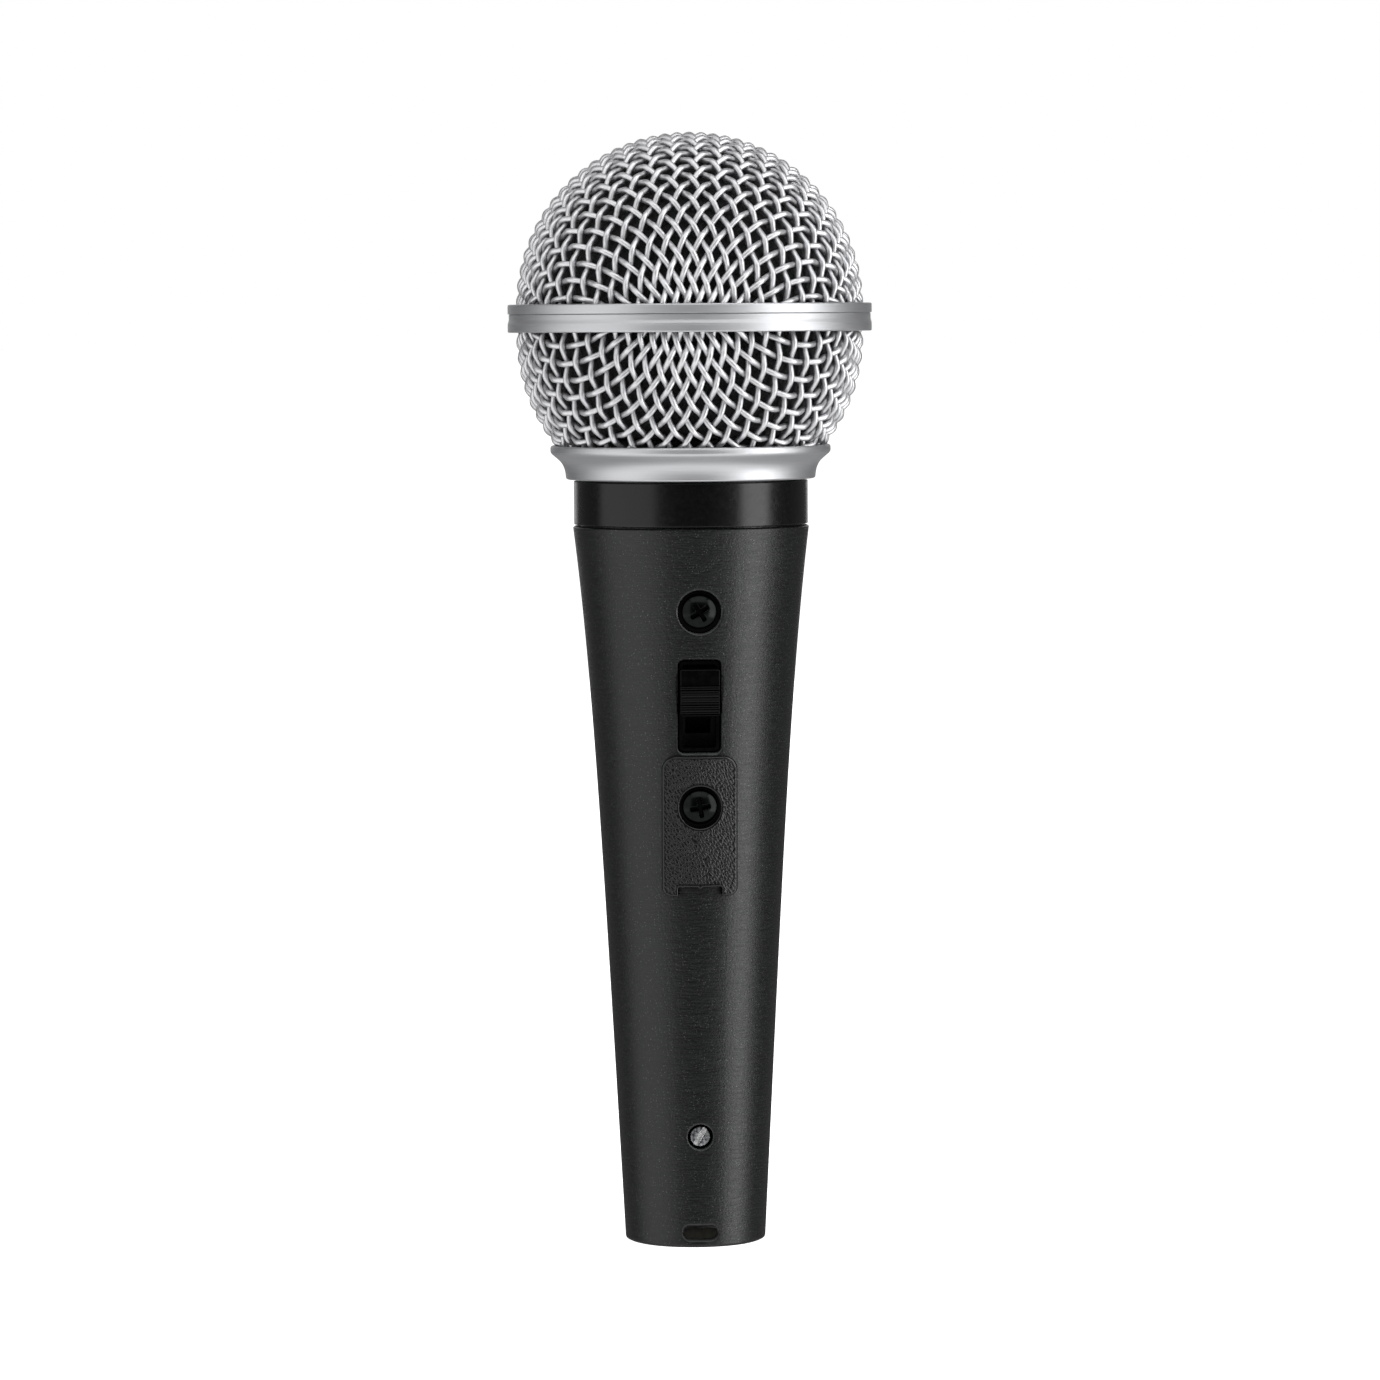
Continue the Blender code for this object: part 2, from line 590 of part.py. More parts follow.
def build_lock_plate():
    """A plate that hugs the handle: a turned skin cut to the outline, with a boss for its screw."""
    rows = 6
    low = PLATE_BOTTOM - 2
    heights = [PLATE_TOP + 2 - (PLATE_TOP + 2 - low) * row / rows for row in range(rows + 1)]
    outer = [(handle_radius(z) + GAP + PLATE_THICKNESS, z) for z in heights]
    inner = [(handle_radius(z) + GAP, z) for z in reversed(heights)]
    plate = turned("lock_plate", outer + inner, PLATE_BLACK, SIDES_BODY, loop=True)

    outline = bpy.data.meshes.new("plate_outline")
    shape = bmesh.new()
    height = (PLATE_TOP - PLATE_BOTTOM) / math.cos(FRONT_TILT)
    size = (PLATE_WIDTH * MM, 12 * MM, height * MM)
    bmesh.ops.create_cube(shape, size=1.0, matrix=Matrix.Diagonal((*size, 1.0)))
    round_edges(shape, 1, lambda middle: PLATE_TOP_ROUND if middle.z > 0 else PLATE_FOOT_ROUND)
    shape.to_mesh(outline)
    shape.free()
    outline_object = on_front(put("cut_plate_outline", outline, CUTTERS), (PLATE_TOP + PLATE_BOTTOM) / 2)
    combine(plate, outline_object, "INTERSECT")

    notch = block("cut_plate_notch", (PLATE_NOTCH_WIDTH, 14, 2 * PLATE_NOTCH_DEPTH), rounding=0.5,
                  collection=CUTTERS)
    combine(plate, on_front(notch, PLATE_BOTTOM), "DIFFERENCE")
    boss = rod("add_plate_boss", PLATE_BOSS_RADIUS, -PLATE_BOSS_DEPTH, GAP + 0.5 * PLATE_THICKNESS,
               sides=SIDES_INNER, collection=CUTTERS)
    combine(plate, on_front(boss, LOCK_SCREW_Z, turn=OUTWARD), "UNION")
    counterbore = rod("cut_plate_counterbore", PLATE_COUNTERBORE_RADIUS, PLATE_SCREW_SEAT, 4,
                      sides=SIDES_INNER, collection=CUTTERS)
    combine(plate, on_front(counterbore, LOCK_SCREW_Z, turn=OUTWARD), "DIFFERENCE")
    hole = rod("cut_plate_hole", SHANK_RADIUS + SCREW_PLAY, -3, 4, collection=CUTTERS)
    combine(plate, on_front(hole, LOCK_SCREW_Z, turn=OUTWARD), "DIFFERENCE")

    axis = empty("lock_screw_axis", (0, 0, 0))
    on_front(axis, LOCK_SCREW_Z, turn=OUTWARD)
    bpy.context.view_layer.update()
    plate.parent = axis
    plate.matrix_parent_inverse = axis.matrix_world.inverted()


def build_switch():
    button = block("switch_button", (BUTTON_WIDTH, BUTTON_DEPTH, BUTTON_HEIGHT), BUTTON_BLACK,
                   rounding=0.35)
    first_rib = -BUTTON_HEIGHT / 2 + 0.55
    for rib in range(BUTTON_RIBS):
        groove = block(f"cut_rib_groove_{rib + 1}", (2 * BUTTON_WIDTH, 2 * BUTTON_RIB_DEPTH, BUTTON_RIB_GAP),
                       collection=CUTTERS)
        groove.parent = button
        groove.location = (0, -BUTTON_DEPTH / 2 * MM, (first_rib + rib * BUTTON_RIB_PITCH) * MM)
        combine(button, groove, "DIFFERENCE")
    body_top = BEZEL_BASE_DEPTH - BEZEL_BASE_THICKNESS - GAP - BRACKET_THICKNESS - GAP
    stem_foot = body_top - SWITCH_POCKET_DEPTH + GAP
    button_back = BUTTON_PROUD - BUTTON_DEPTH
    stem_length = button_back - stem_foot + 0.5
    stem = block("add_button_stem", (STEM_WIDTH, stem_length, STEM_HEIGHT), collection=CUTTERS)
    stem.parent = button
    stem.location = (0, (BUTTON_DEPTH / 2 - 0.5 + stem_length / 2) * MM, 0)
    combine(button, stem, "UNION")
    on_front(button, BUTTON_Z, out=BUTTON_PROUD - BUTTON_DEPTH / 2)

    rim_width = SWITCH_OPENING_WIDTH - 2 * GAP
    rim_height = SWITCH_OPENING_HEIGHT - 2 * GAP
    rim_depth = BEZEL_RIM_TOP - BEZEL_BASE_DEPTH
    base_middle = BEZEL_BASE_DEPTH - BEZEL_BASE_THICKNESS / 2
    bezel = block("switch_bezel", (rim_width + 2 * BEZEL_MARGIN, BEZEL_BASE_THICKNESS,
                                   rim_height + 2 * BEZEL_MARGIN), BUTTON_BLACK)
    rim = block("add_bezel_rim", (rim_width, rim_depth + 0.2, rim_height), rounding=0.7, collection=CUTTERS)
    on_front(rim, SWITCH_OPENING_Z, out=(BEZEL_RIM_TOP + BEZEL_BASE_DEPTH - 0.2) / 2)
    window = block("cut_bezel_window", (rim_width - 2 * BEZEL_RIM, 12, rim_height - 2 * BEZEL_RIM),
                   rounding=0.4, collection=CUTTERS)
    on_front(window, SWITCH_OPENING_Z)
    combine(bezel, rim, "UNION")
    combine(bezel, window, "DIFFERENCE")
    on_front(bezel, SWITCH_OPENING_Z, out=base_middle)

    bracket_top = BEZEL_BASE_DEPTH - BEZEL_BASE_THICKNESS - GAP
    high = UPPER_SCREW_Z + BRACKET_MARGIN
    low = LOCK_SCREW_Z - BRACKET_MARGIN
    bracket = block("switch_bracket", (BRACKET_WIDTH, BRACKET_THICKNESS, high - low), SOFT_IRON,
                    rounding=1.5)
    on_front(bracket, (high + low) / 2, out=bracket_top - BRACKET_THICKNESS / 2)
    inner_radius = handle_radius(FRONT_Z) - HANDLE_WALL
    wall_drop = inner_radius - math.sqrt(inner_radius ** 2 - BOSS_RADIUS ** 2)
    boss_top = -HANDLE_WALL - wall_drop - GAP
    screws = (("upper", UPPER_SCREW_Z), ("lock", LOCK_SCREW_Z))
    for name, z in screws:
        boss = rod(f"add_{name}_boss", BOSS_RADIUS, bracket_top - 0.5 * BRACKET_THICKNESS, boss_top,
                   collection=CUTTERS)
        combine(bracket, on_front(boss, z, turn=OUTWARD), "UNION")
    for name, z in screws:
        bore = rod(f"cut_{name}_boss", SHANK_RADIUS + SCREW_PLAY, -12, 2, collection=CUTTERS)
        combine(bracket, on_front(bore, z, turn=OUTWARD), "DIFFERENCE")
    slot_height = STEM_HEIGHT + BUTTON_TRAVEL + 2 * SCREW_PLAY
    slot_z = BUTTON_Z - BUTTON_TRAVEL / 2
    slot = block("cut_bracket_slot", (STEM_WIDTH + 2 * SCREW_PLAY, 14, slot_height), collection=CUTTERS)
    combine(bracket, on_front(slot, slot_z), "DIFFERENCE")

    body = block("switch_body", (SWITCH_BODY_WIDTH, SWITCH_BODY_DEPTH, SWITCH_BODY_HEIGHT), BOARD_BROWN)
    on_front(body, slot_z, out=body_top - SWITCH_BODY_DEPTH / 2)
    pocket = block("cut_switch_pocket", (STEM_WIDTH + 2 * SCREW_PLAY, 2 * SWITCH_POCKET_DEPTH, slot_height),
                   collection=CUTTERS)
    combine(body, on_front(pocket, slot_z, out=body_top), "DIFFERENCE")
    lug_out = body_top - SWITCH_BODY_DEPTH - GAP - LUG_LENGTH / 2
    for number in range(6):
        side = LUG_SPREAD if number % 2 else -LUG_SPREAD
        lug = block(f"switch_lug_{number + 1}", (LUG_THICKNESS, LUG_LENGTH, LUG_WIDTH), TIN)
        on_front(lug, slot_z + LUG_PITCH * (1 - number // 2), out=lug_out, side=side)
    return slot_z - LUG_PITCH, lug_out - LUG_LENGTH / 2


# --- Grille ----------------------------------------------------------------------------------

def bowl_angle(radius, centre, z):
    """Angle, in degrees, at which a bowl of this radius passes a height."""
    return math.degrees(math.asin((z - centre) / radius))


def build_grille():
    turned("grille_dome_mesh", on_axis(
        arc(UPPER_BOWL_CENTRE, MESH_RADIUS, 90, 0, BOWL_ROWS), 0)
        + [(MESH_RADIUS, BAND_MIDDLE + GAP / 2), (MESH_INNER, BAND_MIDDLE + GAP / 2)]
        + on_axis(arc(UPPER_BOWL_CENTRE, MESH_INNER, 0, 90, BOWL_ROWS), -1), WIRE, SIDES_BALL)

    foot_out = bowl_angle(MESH_RADIUS, LOWER_BOWL_CENTRE, MESH_FOOT)
    foot_in = bowl_angle(MESH_INNER, LOWER_BOWL_CENTRE, MESH_FOOT)
    turned("grille_lower_mesh",
           [(MESH_INNER, BAND_MIDDLE - GAP / 2), (MESH_RADIUS, BAND_MIDDLE - GAP / 2)]
           + arc(LOWER_BOWL_CENTRE, MESH_RADIUS, 0, foot_out, BOWL_ROWS // 2 + 1)
           + arc(LOWER_BOWL_CENTRE, MESH_INNER, foot_in, 0, BOWL_ROWS // 2 + 1),
           WIRE, SIDES_BALL, loop=True)

    recess_low = BAND_BOTTOM + BAND_RIDGE
    recess_high = BAND_TOP - BAND_RIDGE
    groove = BAND_RADIUS - BAND_RECESS
    turned("grille_band", [
        (BAND_INNER, BAND_TOP), (BAND_RADIUS - 0.25, BAND_TOP), (BAND_RADIUS, BAND_TOP - 0.25),
        (BAND_RADIUS, recess_high), (groove, recess_high - 0.1), (groove, recess_low + 0.1),
        (BAND_RADIUS, recess_low), (BAND_RADIUS, BAND_BOTTOM + 0.25),
        (BAND_RADIUS - 0.25, BAND_BOTTOM), (BAND_INNER, BAND_BOTTOM)],
        NICKEL, SIDES_BALL, loop=True)

    lip_low = COLLAR_TOP - COLLAR_LIP_HEIGHT
    land_top = COLLAR_BOTTOM + COLLAR_LAND
    waist = COLLAR_LIP_RADIUS - COLLAR_FOOT_RADIUS
    hollow = [(COLLAR_LIP_RADIUS - waist * math.sin(math.radians(a)),
               lip_low - (lip_low - land_top) * (1 - math.cos(math.radians(a)))) for a in (20, 40, 60, 78)]
    seat_inner = foot_radius(MESH_INNER) - GAP
    seat_floor = MESH_FOOT - GAP
    turned("grille_collar", [
        (seat_inner, COLLAR_TOP), (seat_inner, seat_floor),
        (COLLAR_LIP_RADIUS - COLLAR_LIP_WALL, seat_floor), (COLLAR_LIP_RADIUS - COLLAR_LIP_WALL, COLLAR_TOP),
        (COLLAR_LIP_RADIUS - 0.15, COLLAR_TOP), (COLLAR_LIP_RADIUS, COLLAR_TOP - 0.2),
        (COLLAR_LIP_RADIUS, lip_low)] + hollow + [
        (COLLAR_FOOT_RADIUS, land_top), (COLLAR_FOOT_RADIUS - 0.05, COLLAR_BOTTOM + 0.6),
        (COLLAR_FOOT_RADIUS - 0.3, COLLAR_BOTTOM + 0.2), (COLLAR_FOOT_RADIUS - 0.9, COLLAR_BOTTOM),
        (COLLAR_BORE_RADIUS, COLLAR_BOTTOM), (COLLAR_BORE_RADIUS, COLLAR_TOP)],
        NICKEL, SIDES_BALL, loop=True)


def foot_radius(radius):
    """Radius of a lower bowl's surface at its foot."""
    return math.sqrt(radius ** 2 - (MESH_FOOT - LOWER_BOWL_CENTRE) ** 2)


def build_foam():
    outer = MESH_INNER - GAP
    inner = outer - FOAM_THICKNESS
    foot = NECK_TOP + GAP + MOUNT_FLANGE + FOAM_LIFT
    rows = BOWL_ROWS // 2 + 1
    inside = arc(LOWER_BOWL_CENTRE, inner, bowl_angle(inner, LOWER_BOWL_CENTRE, foot), 0, rows)
    inside[0] = (min(inside[0][0], MOUNT_FLANGE_RADIUS - FOAM_LAP), foot)
    turned("foam_windscreen",
           on_axis(arc(UPPER_BOWL_CENTRE, outer, 90, 0, BOWL_ROWS), 0)
           + arc(LOWER_BOWL_CENTRE, outer, 0, bowl_angle(outer, LOWER_BOWL_CENTRE, foot), rows)
           + inside
           + on_axis(arc(UPPER_BOWL_CENTRE, inner, 0, 90, BOWL_ROWS), -1), FOAM, SIDES_BALL)


# --- Cartridge -------------------------------------------------------------------------------

def build_cartridge():
    bore = CARTRIDGE_RADIUS + GAP
    mount_top = NECK_TOP + GAP + MOUNT_FLANGE
    sleeve = NECK_BORE_RADIUS - GAP
    turned("shock_mount", [
        (bore, mount_top), (MOUNT_FLANGE_RADIUS, mount_top), (MOUNT_FLANGE_RADIUS, NECK_TOP + GAP),
        (sleeve, NECK_TOP + GAP), (sleeve, MOUNT_FOOT), (bore, MOUNT_FOOT)],
        RUBBER, SIDES_BALL, loop=True)

    inner = CARTRIDGE_RADIUS - CARTRIDGE_WALL
    housing = turned("cartridge_housing", [
        (inner, CARTRIDGE_TOP), (CARTRIDGE_RADIUS, CARTRIDGE_TOP), (CARTRIDGE_RADIUS, CARTRIDGE_BOTTOM),
        (inner, CARTRIDGE_BOTTOM), (inner, LEDGE_Z), (LEDGE_RADIUS, LEDGE_Z),
        (LEDGE_RADIUS, LEDGE_Z + LEDGE_THICKNESS), (inner, LEDGE_Z + LEDGE_THICKNESS)],
        HOUSING_GREY, loop=True)
    for port in range(SIDE_PORT_COUNT // 2):
        size = (SIDE_PORT_WIDTH, 3 * CARTRIDGE_RADIUS, SIDE_PORT_HEIGHT)
        cutter = block(f"cut_side_ports_{port + 1}", size, collection=CUTTERS)
        cutter.location = (0, 0, SIDE_PORT_Z * MM)
        cutter.rotation_euler = (0, 0, math.pi * (port + 0.5) / (SIDE_PORT_COUNT // 2))
        combine(housing, cutter, "DIFFERENCE")

    top = CARTRIDGE_BOTTOM - GAP
    bottom = top - REAR_CAVITY_HEIGHT
    turned("rear_cavity", [
        (REAR_CAVITY_RADIUS - REAR_CAVITY_WALL, top), (REAR_CAVITY_RADIUS, top),
        (REAR_CAVITY_RADIUS, bottom + 1), (REAR_CAVITY_RADIUS - 1, bottom), (0, bottom),
        (0, bottom + REAR_CAVITY_WALL), (REAR_CAVITY_RADIUS - REAR_CAVITY_WALL, bottom + REAR_CAVITY_WALL)],
        HOUSING_GREY, loop=True)

    cup_inner = MAGNET_CUP_RADIUS - MAGNET_CUP_WALL
    floor = CUP_LOW + MAGNET_CUP_FLOOR
    turned("magnet_cup", [
        (cup_inner, CUP_HIGH), (MAGNET_CUP_RADIUS, CUP_HIGH), (MAGNET_CUP_RADIUS, CUP_LOW), (0, CUP_LOW),
        (0, floor), (cup_inner, floor)], SOFT_IRON, loop=True)
    magnet_low = floor + GAP
    rod("magnet", MAGNET_RADIUS, magnet_low, magnet_low + MAGNET_HEIGHT, MAGNET_GREY, SIDES_INNER)
    pole_low = magnet_low + MAGNET_HEIGHT + GAP
    rod("pole_piece", POLE_RADIUS, pole_low, pole_low + POLE_HEIGHT, SOFT_IRON, SIDES_INNER)

    coil_inner = POLE_RADIUS + COIL_PLAY
    coil_outer = coil_inner + COIL_WALL
    plate_outer = inner - GAP
    turned("top_plate", [
        (coil_outer + COIL_PLAY, TOP_PLATE_HIGH), (plate_outer, TOP_PLATE_HIGH),
        (plate_outer, TOP_PLATE_LOW), (coil_outer + COIL_PLAY, TOP_PLATE_LOW)], SOFT_IRON, loop=True)
    turned("diaphragm_ring", [
        (plate_outer - CLAMP_RING_WIDTH, CLAMP_RING_HIGH), (plate_outer, CLAMP_RING_HIGH),
        (plate_outer, CLAMP_RING_LOW), (plate_outer - CLAMP_RING_WIDTH, CLAMP_RING_LOW)],
        BOARD_BROWN, loop=True)
    coil_top = FILM_LOW - GAP
    turned("voice_coil", [
        (coil_inner, coil_top), (coil_outer, coil_top), (coil_outer, coil_top - COIL_HEIGHT),
        (coil_inner, coil_top - COIL_HEIGHT)], COPPER, loop=True)
    dome = [(coil_outer * (1 - step / 4), FILM_LOW + DIAPHRAGM_DOME * (1 - (1 - step / 4) ** 2))
            for step in range(5)]
    upper = [(radius, z + DIAPHRAGM_THICKNESS) for radius, z in reversed(dome)]
    edge = plate_outer - GAP
    roll = (coil_outer + edge) / 2
    turned("diaphragm", upper + [
        (roll, FILM_LOW + 0.8 + DIAPHRAGM_THICKNESS), (edge, FILM_LOW + DIAPHRAGM_THICKNESS),
        (edge, FILM_LOW), (roll, FILM_LOW + 0.8)] + dome, FILM, SIDES_INNER)

    cap_under = CARTRIDGE_TOP + CAP_HEADROOM
    cap_high = cap_under + CAP_THICKNESS
    skirt_outer = bore + CAP_WALL
    cap = turned("front_cap", [
        (0, cap_high), (skirt_outer - 0.6, cap_high), (skirt_outer, cap_high - 0.6),
        (skirt_outer, cap_high - CAP_SKIRT), (bore, cap_high - CAP_SKIRT), (bore, cap_under),
        (0, cap_under)], HOUSING_GREY, SIDES_INNER)
    for hole in range(CAP_HOLE_COUNT):
        angle = 2 * math.pi * hole / CAP_HOLE_COUNT
        cutter = rod(f"cut_cap_hole_{hole + 1}", CAP_HOLE_RADIUS, cap_under - 1, cap_high + 1,
                     sides=12, collection=CUTTERS)
        cutter.location = (CAP_HOLE_CIRCLE * math.cos(angle) * MM, CAP_HOLE_CIRCLE * math.sin(angle) * MM, 0)
        combine(cap, cutter, "DIFFERENCE")
    rod("front_screen", SCREEN_RADIUS, cap_high + GAP, cap_high + GAP + SCREEN_THICKNESS, FELT, SIDES_INNER)
    return bottom


# --- Transformer and leads -------------------------------------------------------------------

def build_transformer():
    core = block("transformer_core", (CORE_WIDTH, CORE_WIDTH, CORE_HEIGHT), LAMINATION)
    core.location = (0, 0, (CORE_BOTTOM + CORE_HEIGHT / 2) * MM)
    window_height = CORE_HEIGHT - 2 * CORE_WINDOW
    reach = CORE_WIDTH / 2 - CORE_WINDOW
    limb = CORE_WINDOW / 2
    for name, side in (("left", -1), ("right", 1)):
        window = block(f"cut_core_window_{name}", (reach - limb, 2 * CORE_WIDTH, window_height),
                       collection=CUTTERS)
        window.location = (side * (reach + limb) / 2 * MM, 0, (CORE_BOTTOM + CORE_HEIGHT / 2) * MM)
        combine(core, window, "DIFFERENCE")
    coil_width = 2 * (reach - GAP)
    coil_depth = CORE_WIDTH + 2 * COIL_FORM_MARGIN
    coil = block("transformer_coil", (coil_width, coil_depth, window_height - 2 * GAP), BOBBIN,
                 rounding=0.8, axis="Z")
    coil.location = core.location
    limb_hole = block("cut_coil_limb", (2 * (limb + GAP), CORE_WIDTH + 2 * GAP, 2 * CORE_HEIGHT),
                      collection=CUTTERS)
    limb_hole.location = core.location
    combine(coil, limb_hole, "DIFFERENCE")

    rows = (CRADLE_Z + CRADLE_THICKNESS, CRADLE_Z)
    edge = [(handle_radius(z) - HANDLE_WALL - GAP, z) for z in rows]
    cradle = turned("transformer_cradle", [(0, rows[0])] + edge + [(0, rows[1])], RUBBER, SIDES_INNER)
    opening = block("cut_cradle_opening", (CORE_WIDTH + 2 * GAP, coil_depth + 2 * GAP, 20),
                    collection=CUTTERS)
    opening.location = (0, 0, CRADLE_Z * MM)
    combine(cradle, opening, "DIFFERENCE")


def lead(name, route, finish):
    """An insulated lead along a smooth curve through its route's points, in mm."""
    points = [Vector(point) for point in route]
    padded = [2 * points[0] - points[1], *points, 2 * points[-1] - points[-2]]
    spans = len(points) - 1
    smooth = []
    for step in range(LEAD_POINTS + 1):
        place = spans * step / LEAD_POINTS
        index = min(int(place), spans - 1)
        smooth.append(through(padded[index:index + 4], place - index))
    curve = bpy.data.curves.new(name, "CURVE")
    curve.dimensions = "3D"
    curve.bevel_depth = LEAD_RADIUS * MM
    curve.bevel_resolution = 2
    curve.use_fill_caps = True
    spline = curve.splines.new("POLY")
    spline.points.add(len(smooth) - 1)
    for point, place in zip(spline.points, smooth):
        point.co = (*(place * MM), 1.0)
    curve.materials.append(finish)
    wire = bpy.data.objects.new(name, curve)
    PARTS.objects.link(wire)


def through(corners, t):
    """A point of the Catmull-Rom curve between the two middle points of four."""
    a, b, c, d = corners
    return 0.5 * (2 * b + (c - a) * t + (2 * a - 5 * b + 4 * c - d) * t ** 2
                  + (3 * b - 3 * c + d - a) * t ** 3)


def build_leads(cavity_bottom, lug_z, lug_out):
    core_top = CORE_BOTTOM + CORE_HEIGHT
    start = cavity_bottom - GAP
    end = core_top + GAP
    span = start - end
    for name, side, finish in (("capsule_lead_red", 1, LEAD_RED), ("capsule_lead_green", -1, LEAD_GREEN)):
        x = side * LEAD_SPREAD
        lead(name, [(x, 2, start), (x, 2.5, start - 3), (x + 0.6, 6, start - 0.25 * span),
                    (x, 6.5, start - 0.55 * span), (x, 5, end + 8), (x, 3, end + 3), (x, 2.8, end)], finish)
    for number, side, finish in ((1, -1, LEAD_BLACK), (2, 1, LEAD_YELLOW)):
        x = side * LUG_SPREAD
        tip = Vector(front_point(lug_z, x, lug_out - GAP))
        bend = min(tip.z - LEAD_DROP, end + LEAD_RISE)
        lead(f"switch_lead_{number}", [
            tip, tip + Vector((0, 1.2, -0.6)), tip + Vector((0, 2.0, -5)), (x, -1.5, bend),
            (x, -2.6, end + 4), (x, -2.8, end)], finish)
    pin_top = INSERT_BOTTOM + INSERT_HEIGHT + PIN_SOLDER_LENGTH + GAP
    high = CORE_BOTTOM - GAP
    for number, finish in ((1, LEAD_BLACK), (2, LEAD_RED), (3, LEAD_YELLOW)):
        angle = math.radians(90 + 120 * (number - 1))
        x = PIN_CIRCLE_RADIUS * math.cos(angle)
        y = PIN_CIRCLE_RADIUS * math.sin(angle)
        lead(f"output_lead_{number}", [
            (0.9 * x, 0.9 * y, high), (0.9 * x, 0.9 * y, high - 2), (1.1 * x, 1.1 * y, pin_top + 3),
            (x, y, pin_top + 1), (x, y, pin_top)], finish)


build_handle()
build_name_ring()
build_connector()
build_screws()
build_lock_plate()
LUG_ROW_Z, LUG_END = build_switch()
build_grille()
build_foam()
CAVITY_BOTTOM = build_cartridge()
build_transformer()
build_leads(CAVITY_BOTTOM, LUG_ROW_Z, LUG_END)
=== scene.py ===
# %% [markdown]
# # A handheld vocal microphone
# The microphone is a tapered die-cast handle with a slide switch, and a ball of woven wire on top.
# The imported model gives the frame: where every piece sits and what moves with what. This script
# gives each visible piece its finished shape and its material, then the light and the camera.

# %% The frame
import json
import math

import bmesh
import bpy
import numpy as np
from mathutils import Matrix, Vector


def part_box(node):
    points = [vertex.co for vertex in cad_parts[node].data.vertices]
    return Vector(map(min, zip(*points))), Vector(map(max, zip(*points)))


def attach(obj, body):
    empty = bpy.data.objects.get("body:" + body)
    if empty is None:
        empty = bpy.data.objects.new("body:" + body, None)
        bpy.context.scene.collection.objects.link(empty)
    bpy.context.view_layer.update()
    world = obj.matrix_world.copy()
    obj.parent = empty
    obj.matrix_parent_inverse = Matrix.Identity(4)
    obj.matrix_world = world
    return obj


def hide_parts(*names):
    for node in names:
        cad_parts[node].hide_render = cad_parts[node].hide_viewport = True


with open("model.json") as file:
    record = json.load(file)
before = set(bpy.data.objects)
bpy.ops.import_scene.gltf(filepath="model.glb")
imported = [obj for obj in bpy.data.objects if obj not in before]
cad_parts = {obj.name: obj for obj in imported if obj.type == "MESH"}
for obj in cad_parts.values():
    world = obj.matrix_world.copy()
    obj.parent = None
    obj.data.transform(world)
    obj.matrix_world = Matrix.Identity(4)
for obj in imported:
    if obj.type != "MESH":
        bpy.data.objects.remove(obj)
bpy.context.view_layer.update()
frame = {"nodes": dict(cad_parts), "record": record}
MM = 0.001

# %% [markdown]
# Every new piece is a surface worked out with numpy, in millimetres, and turned to metres as it
# becomes a mesh. Three helpers do the work: one makes an object, one lists the four-sided faces
# of a grid, and one turns a profile round the microphone's axis.


# %% Making a piece of arrays
def piece(name, points, faces, finish, body, stands_for=(), slot=None, sharp=40.0):
    """Makes an object of points (mm) and faces, smooth except at edges sharper than an angle."""
    mesh = bpy.data.meshes.new(name)
    mesh.from_pydata((points * MM).tolist(), [], faces.tolist())
    tidy = bmesh.new()
    tidy.from_mesh(mesh)
    bmesh.ops.remove_doubles(tidy, verts=tidy.verts, dist=1e-7)
    bmesh.ops.dissolve_degenerate(tidy, edges=tidy.edges, dist=1e-7)
    tidy.to_mesh(mesh)
    tidy.free()
    mesh.shade_smooth()
    mesh.set_sharp_from_angle(angle=math.radians(sharp))
    mesh.materials.append(finish)
    made = bpy.data.objects.new(name, mesh)
    bpy.context.scene.collection.objects.link(made)
    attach(made, body)
    if stands_for:
        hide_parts(*stands_for)
    print(f"{name}: {len(mesh.polygons)} faces")
    return made


def grid_faces(rows, columns, ring=True, closed=False, start=0):
    """Faces of a grid whose rows run down the outside and whose columns run round it."""
    r, c = np.meshgrid(np.arange(rows if closed else rows - 1),
                       np.arange(columns if ring else columns - 1), indexing="ij")
    below, beside = (r + 1) % rows, (c + 1) % columns
    corners = [r * columns + c, below * columns + c, below * columns + beside, r * columns + beside]
    return np.stack(corners, axis=-1).reshape(-1, 4) + start


def turned(profile, sides=192, closed=True):
    """A profile of (radius, z) turned round the axis: x = r sin(a), y = -r cos(a)."""
    radius, z = np.asarray(profile, float).T
    a = np.arange(sides) * 2 * math.pi / sides
    points = np.stack([np.outer(radius, np.sin(a)), -np.outer(radius, np.cos(a)),
                       np.repeat(z[:, None], sides, axis=1)], axis=-1)
    return points.reshape(-1, 3), grid_faces(len(z), sides, closed=closed)


def joined(*parts):
    """Puts several (points, faces) pairs into one: each pair's faces count on from the pair before."""
    starts = np.cumsum([0] + [len(points) for points, _ in parts[:-1]])
    faces = [faces + start for (_, faces), start in zip(parts, starts)]
    return np.concatenate([points for points, _ in parts]), np.concatenate(faces)


def rounded(corners, radius, steps=4):
    """An outline of (r, z) corners, each corner cut back by a radius and filled with a curve.

    Each corner becomes a quadratic curve from a point before it to a point after it; the corner
    itself is the control point. radius is one number, or one for each corner.
    """
    here = np.asarray(corners, float)
    cut = np.broadcast_to(radius, len(here))[:, None]
    sides = [np.roll(here, way, 0) - here for way in (1, -1)]
    start, end = [(here + side * np.minimum(0.45, cut / np.linalg.norm(side, axis=1)[:, None]))[:, None]
                  for side in sides]
    t = np.linspace(0, 1, steps + 1)[:, None]
    return ((1 - t) ** 2 * start + 2 * t * (1 - t) * here[:, None] + t ** 2 * end).reshape(-1, 2)


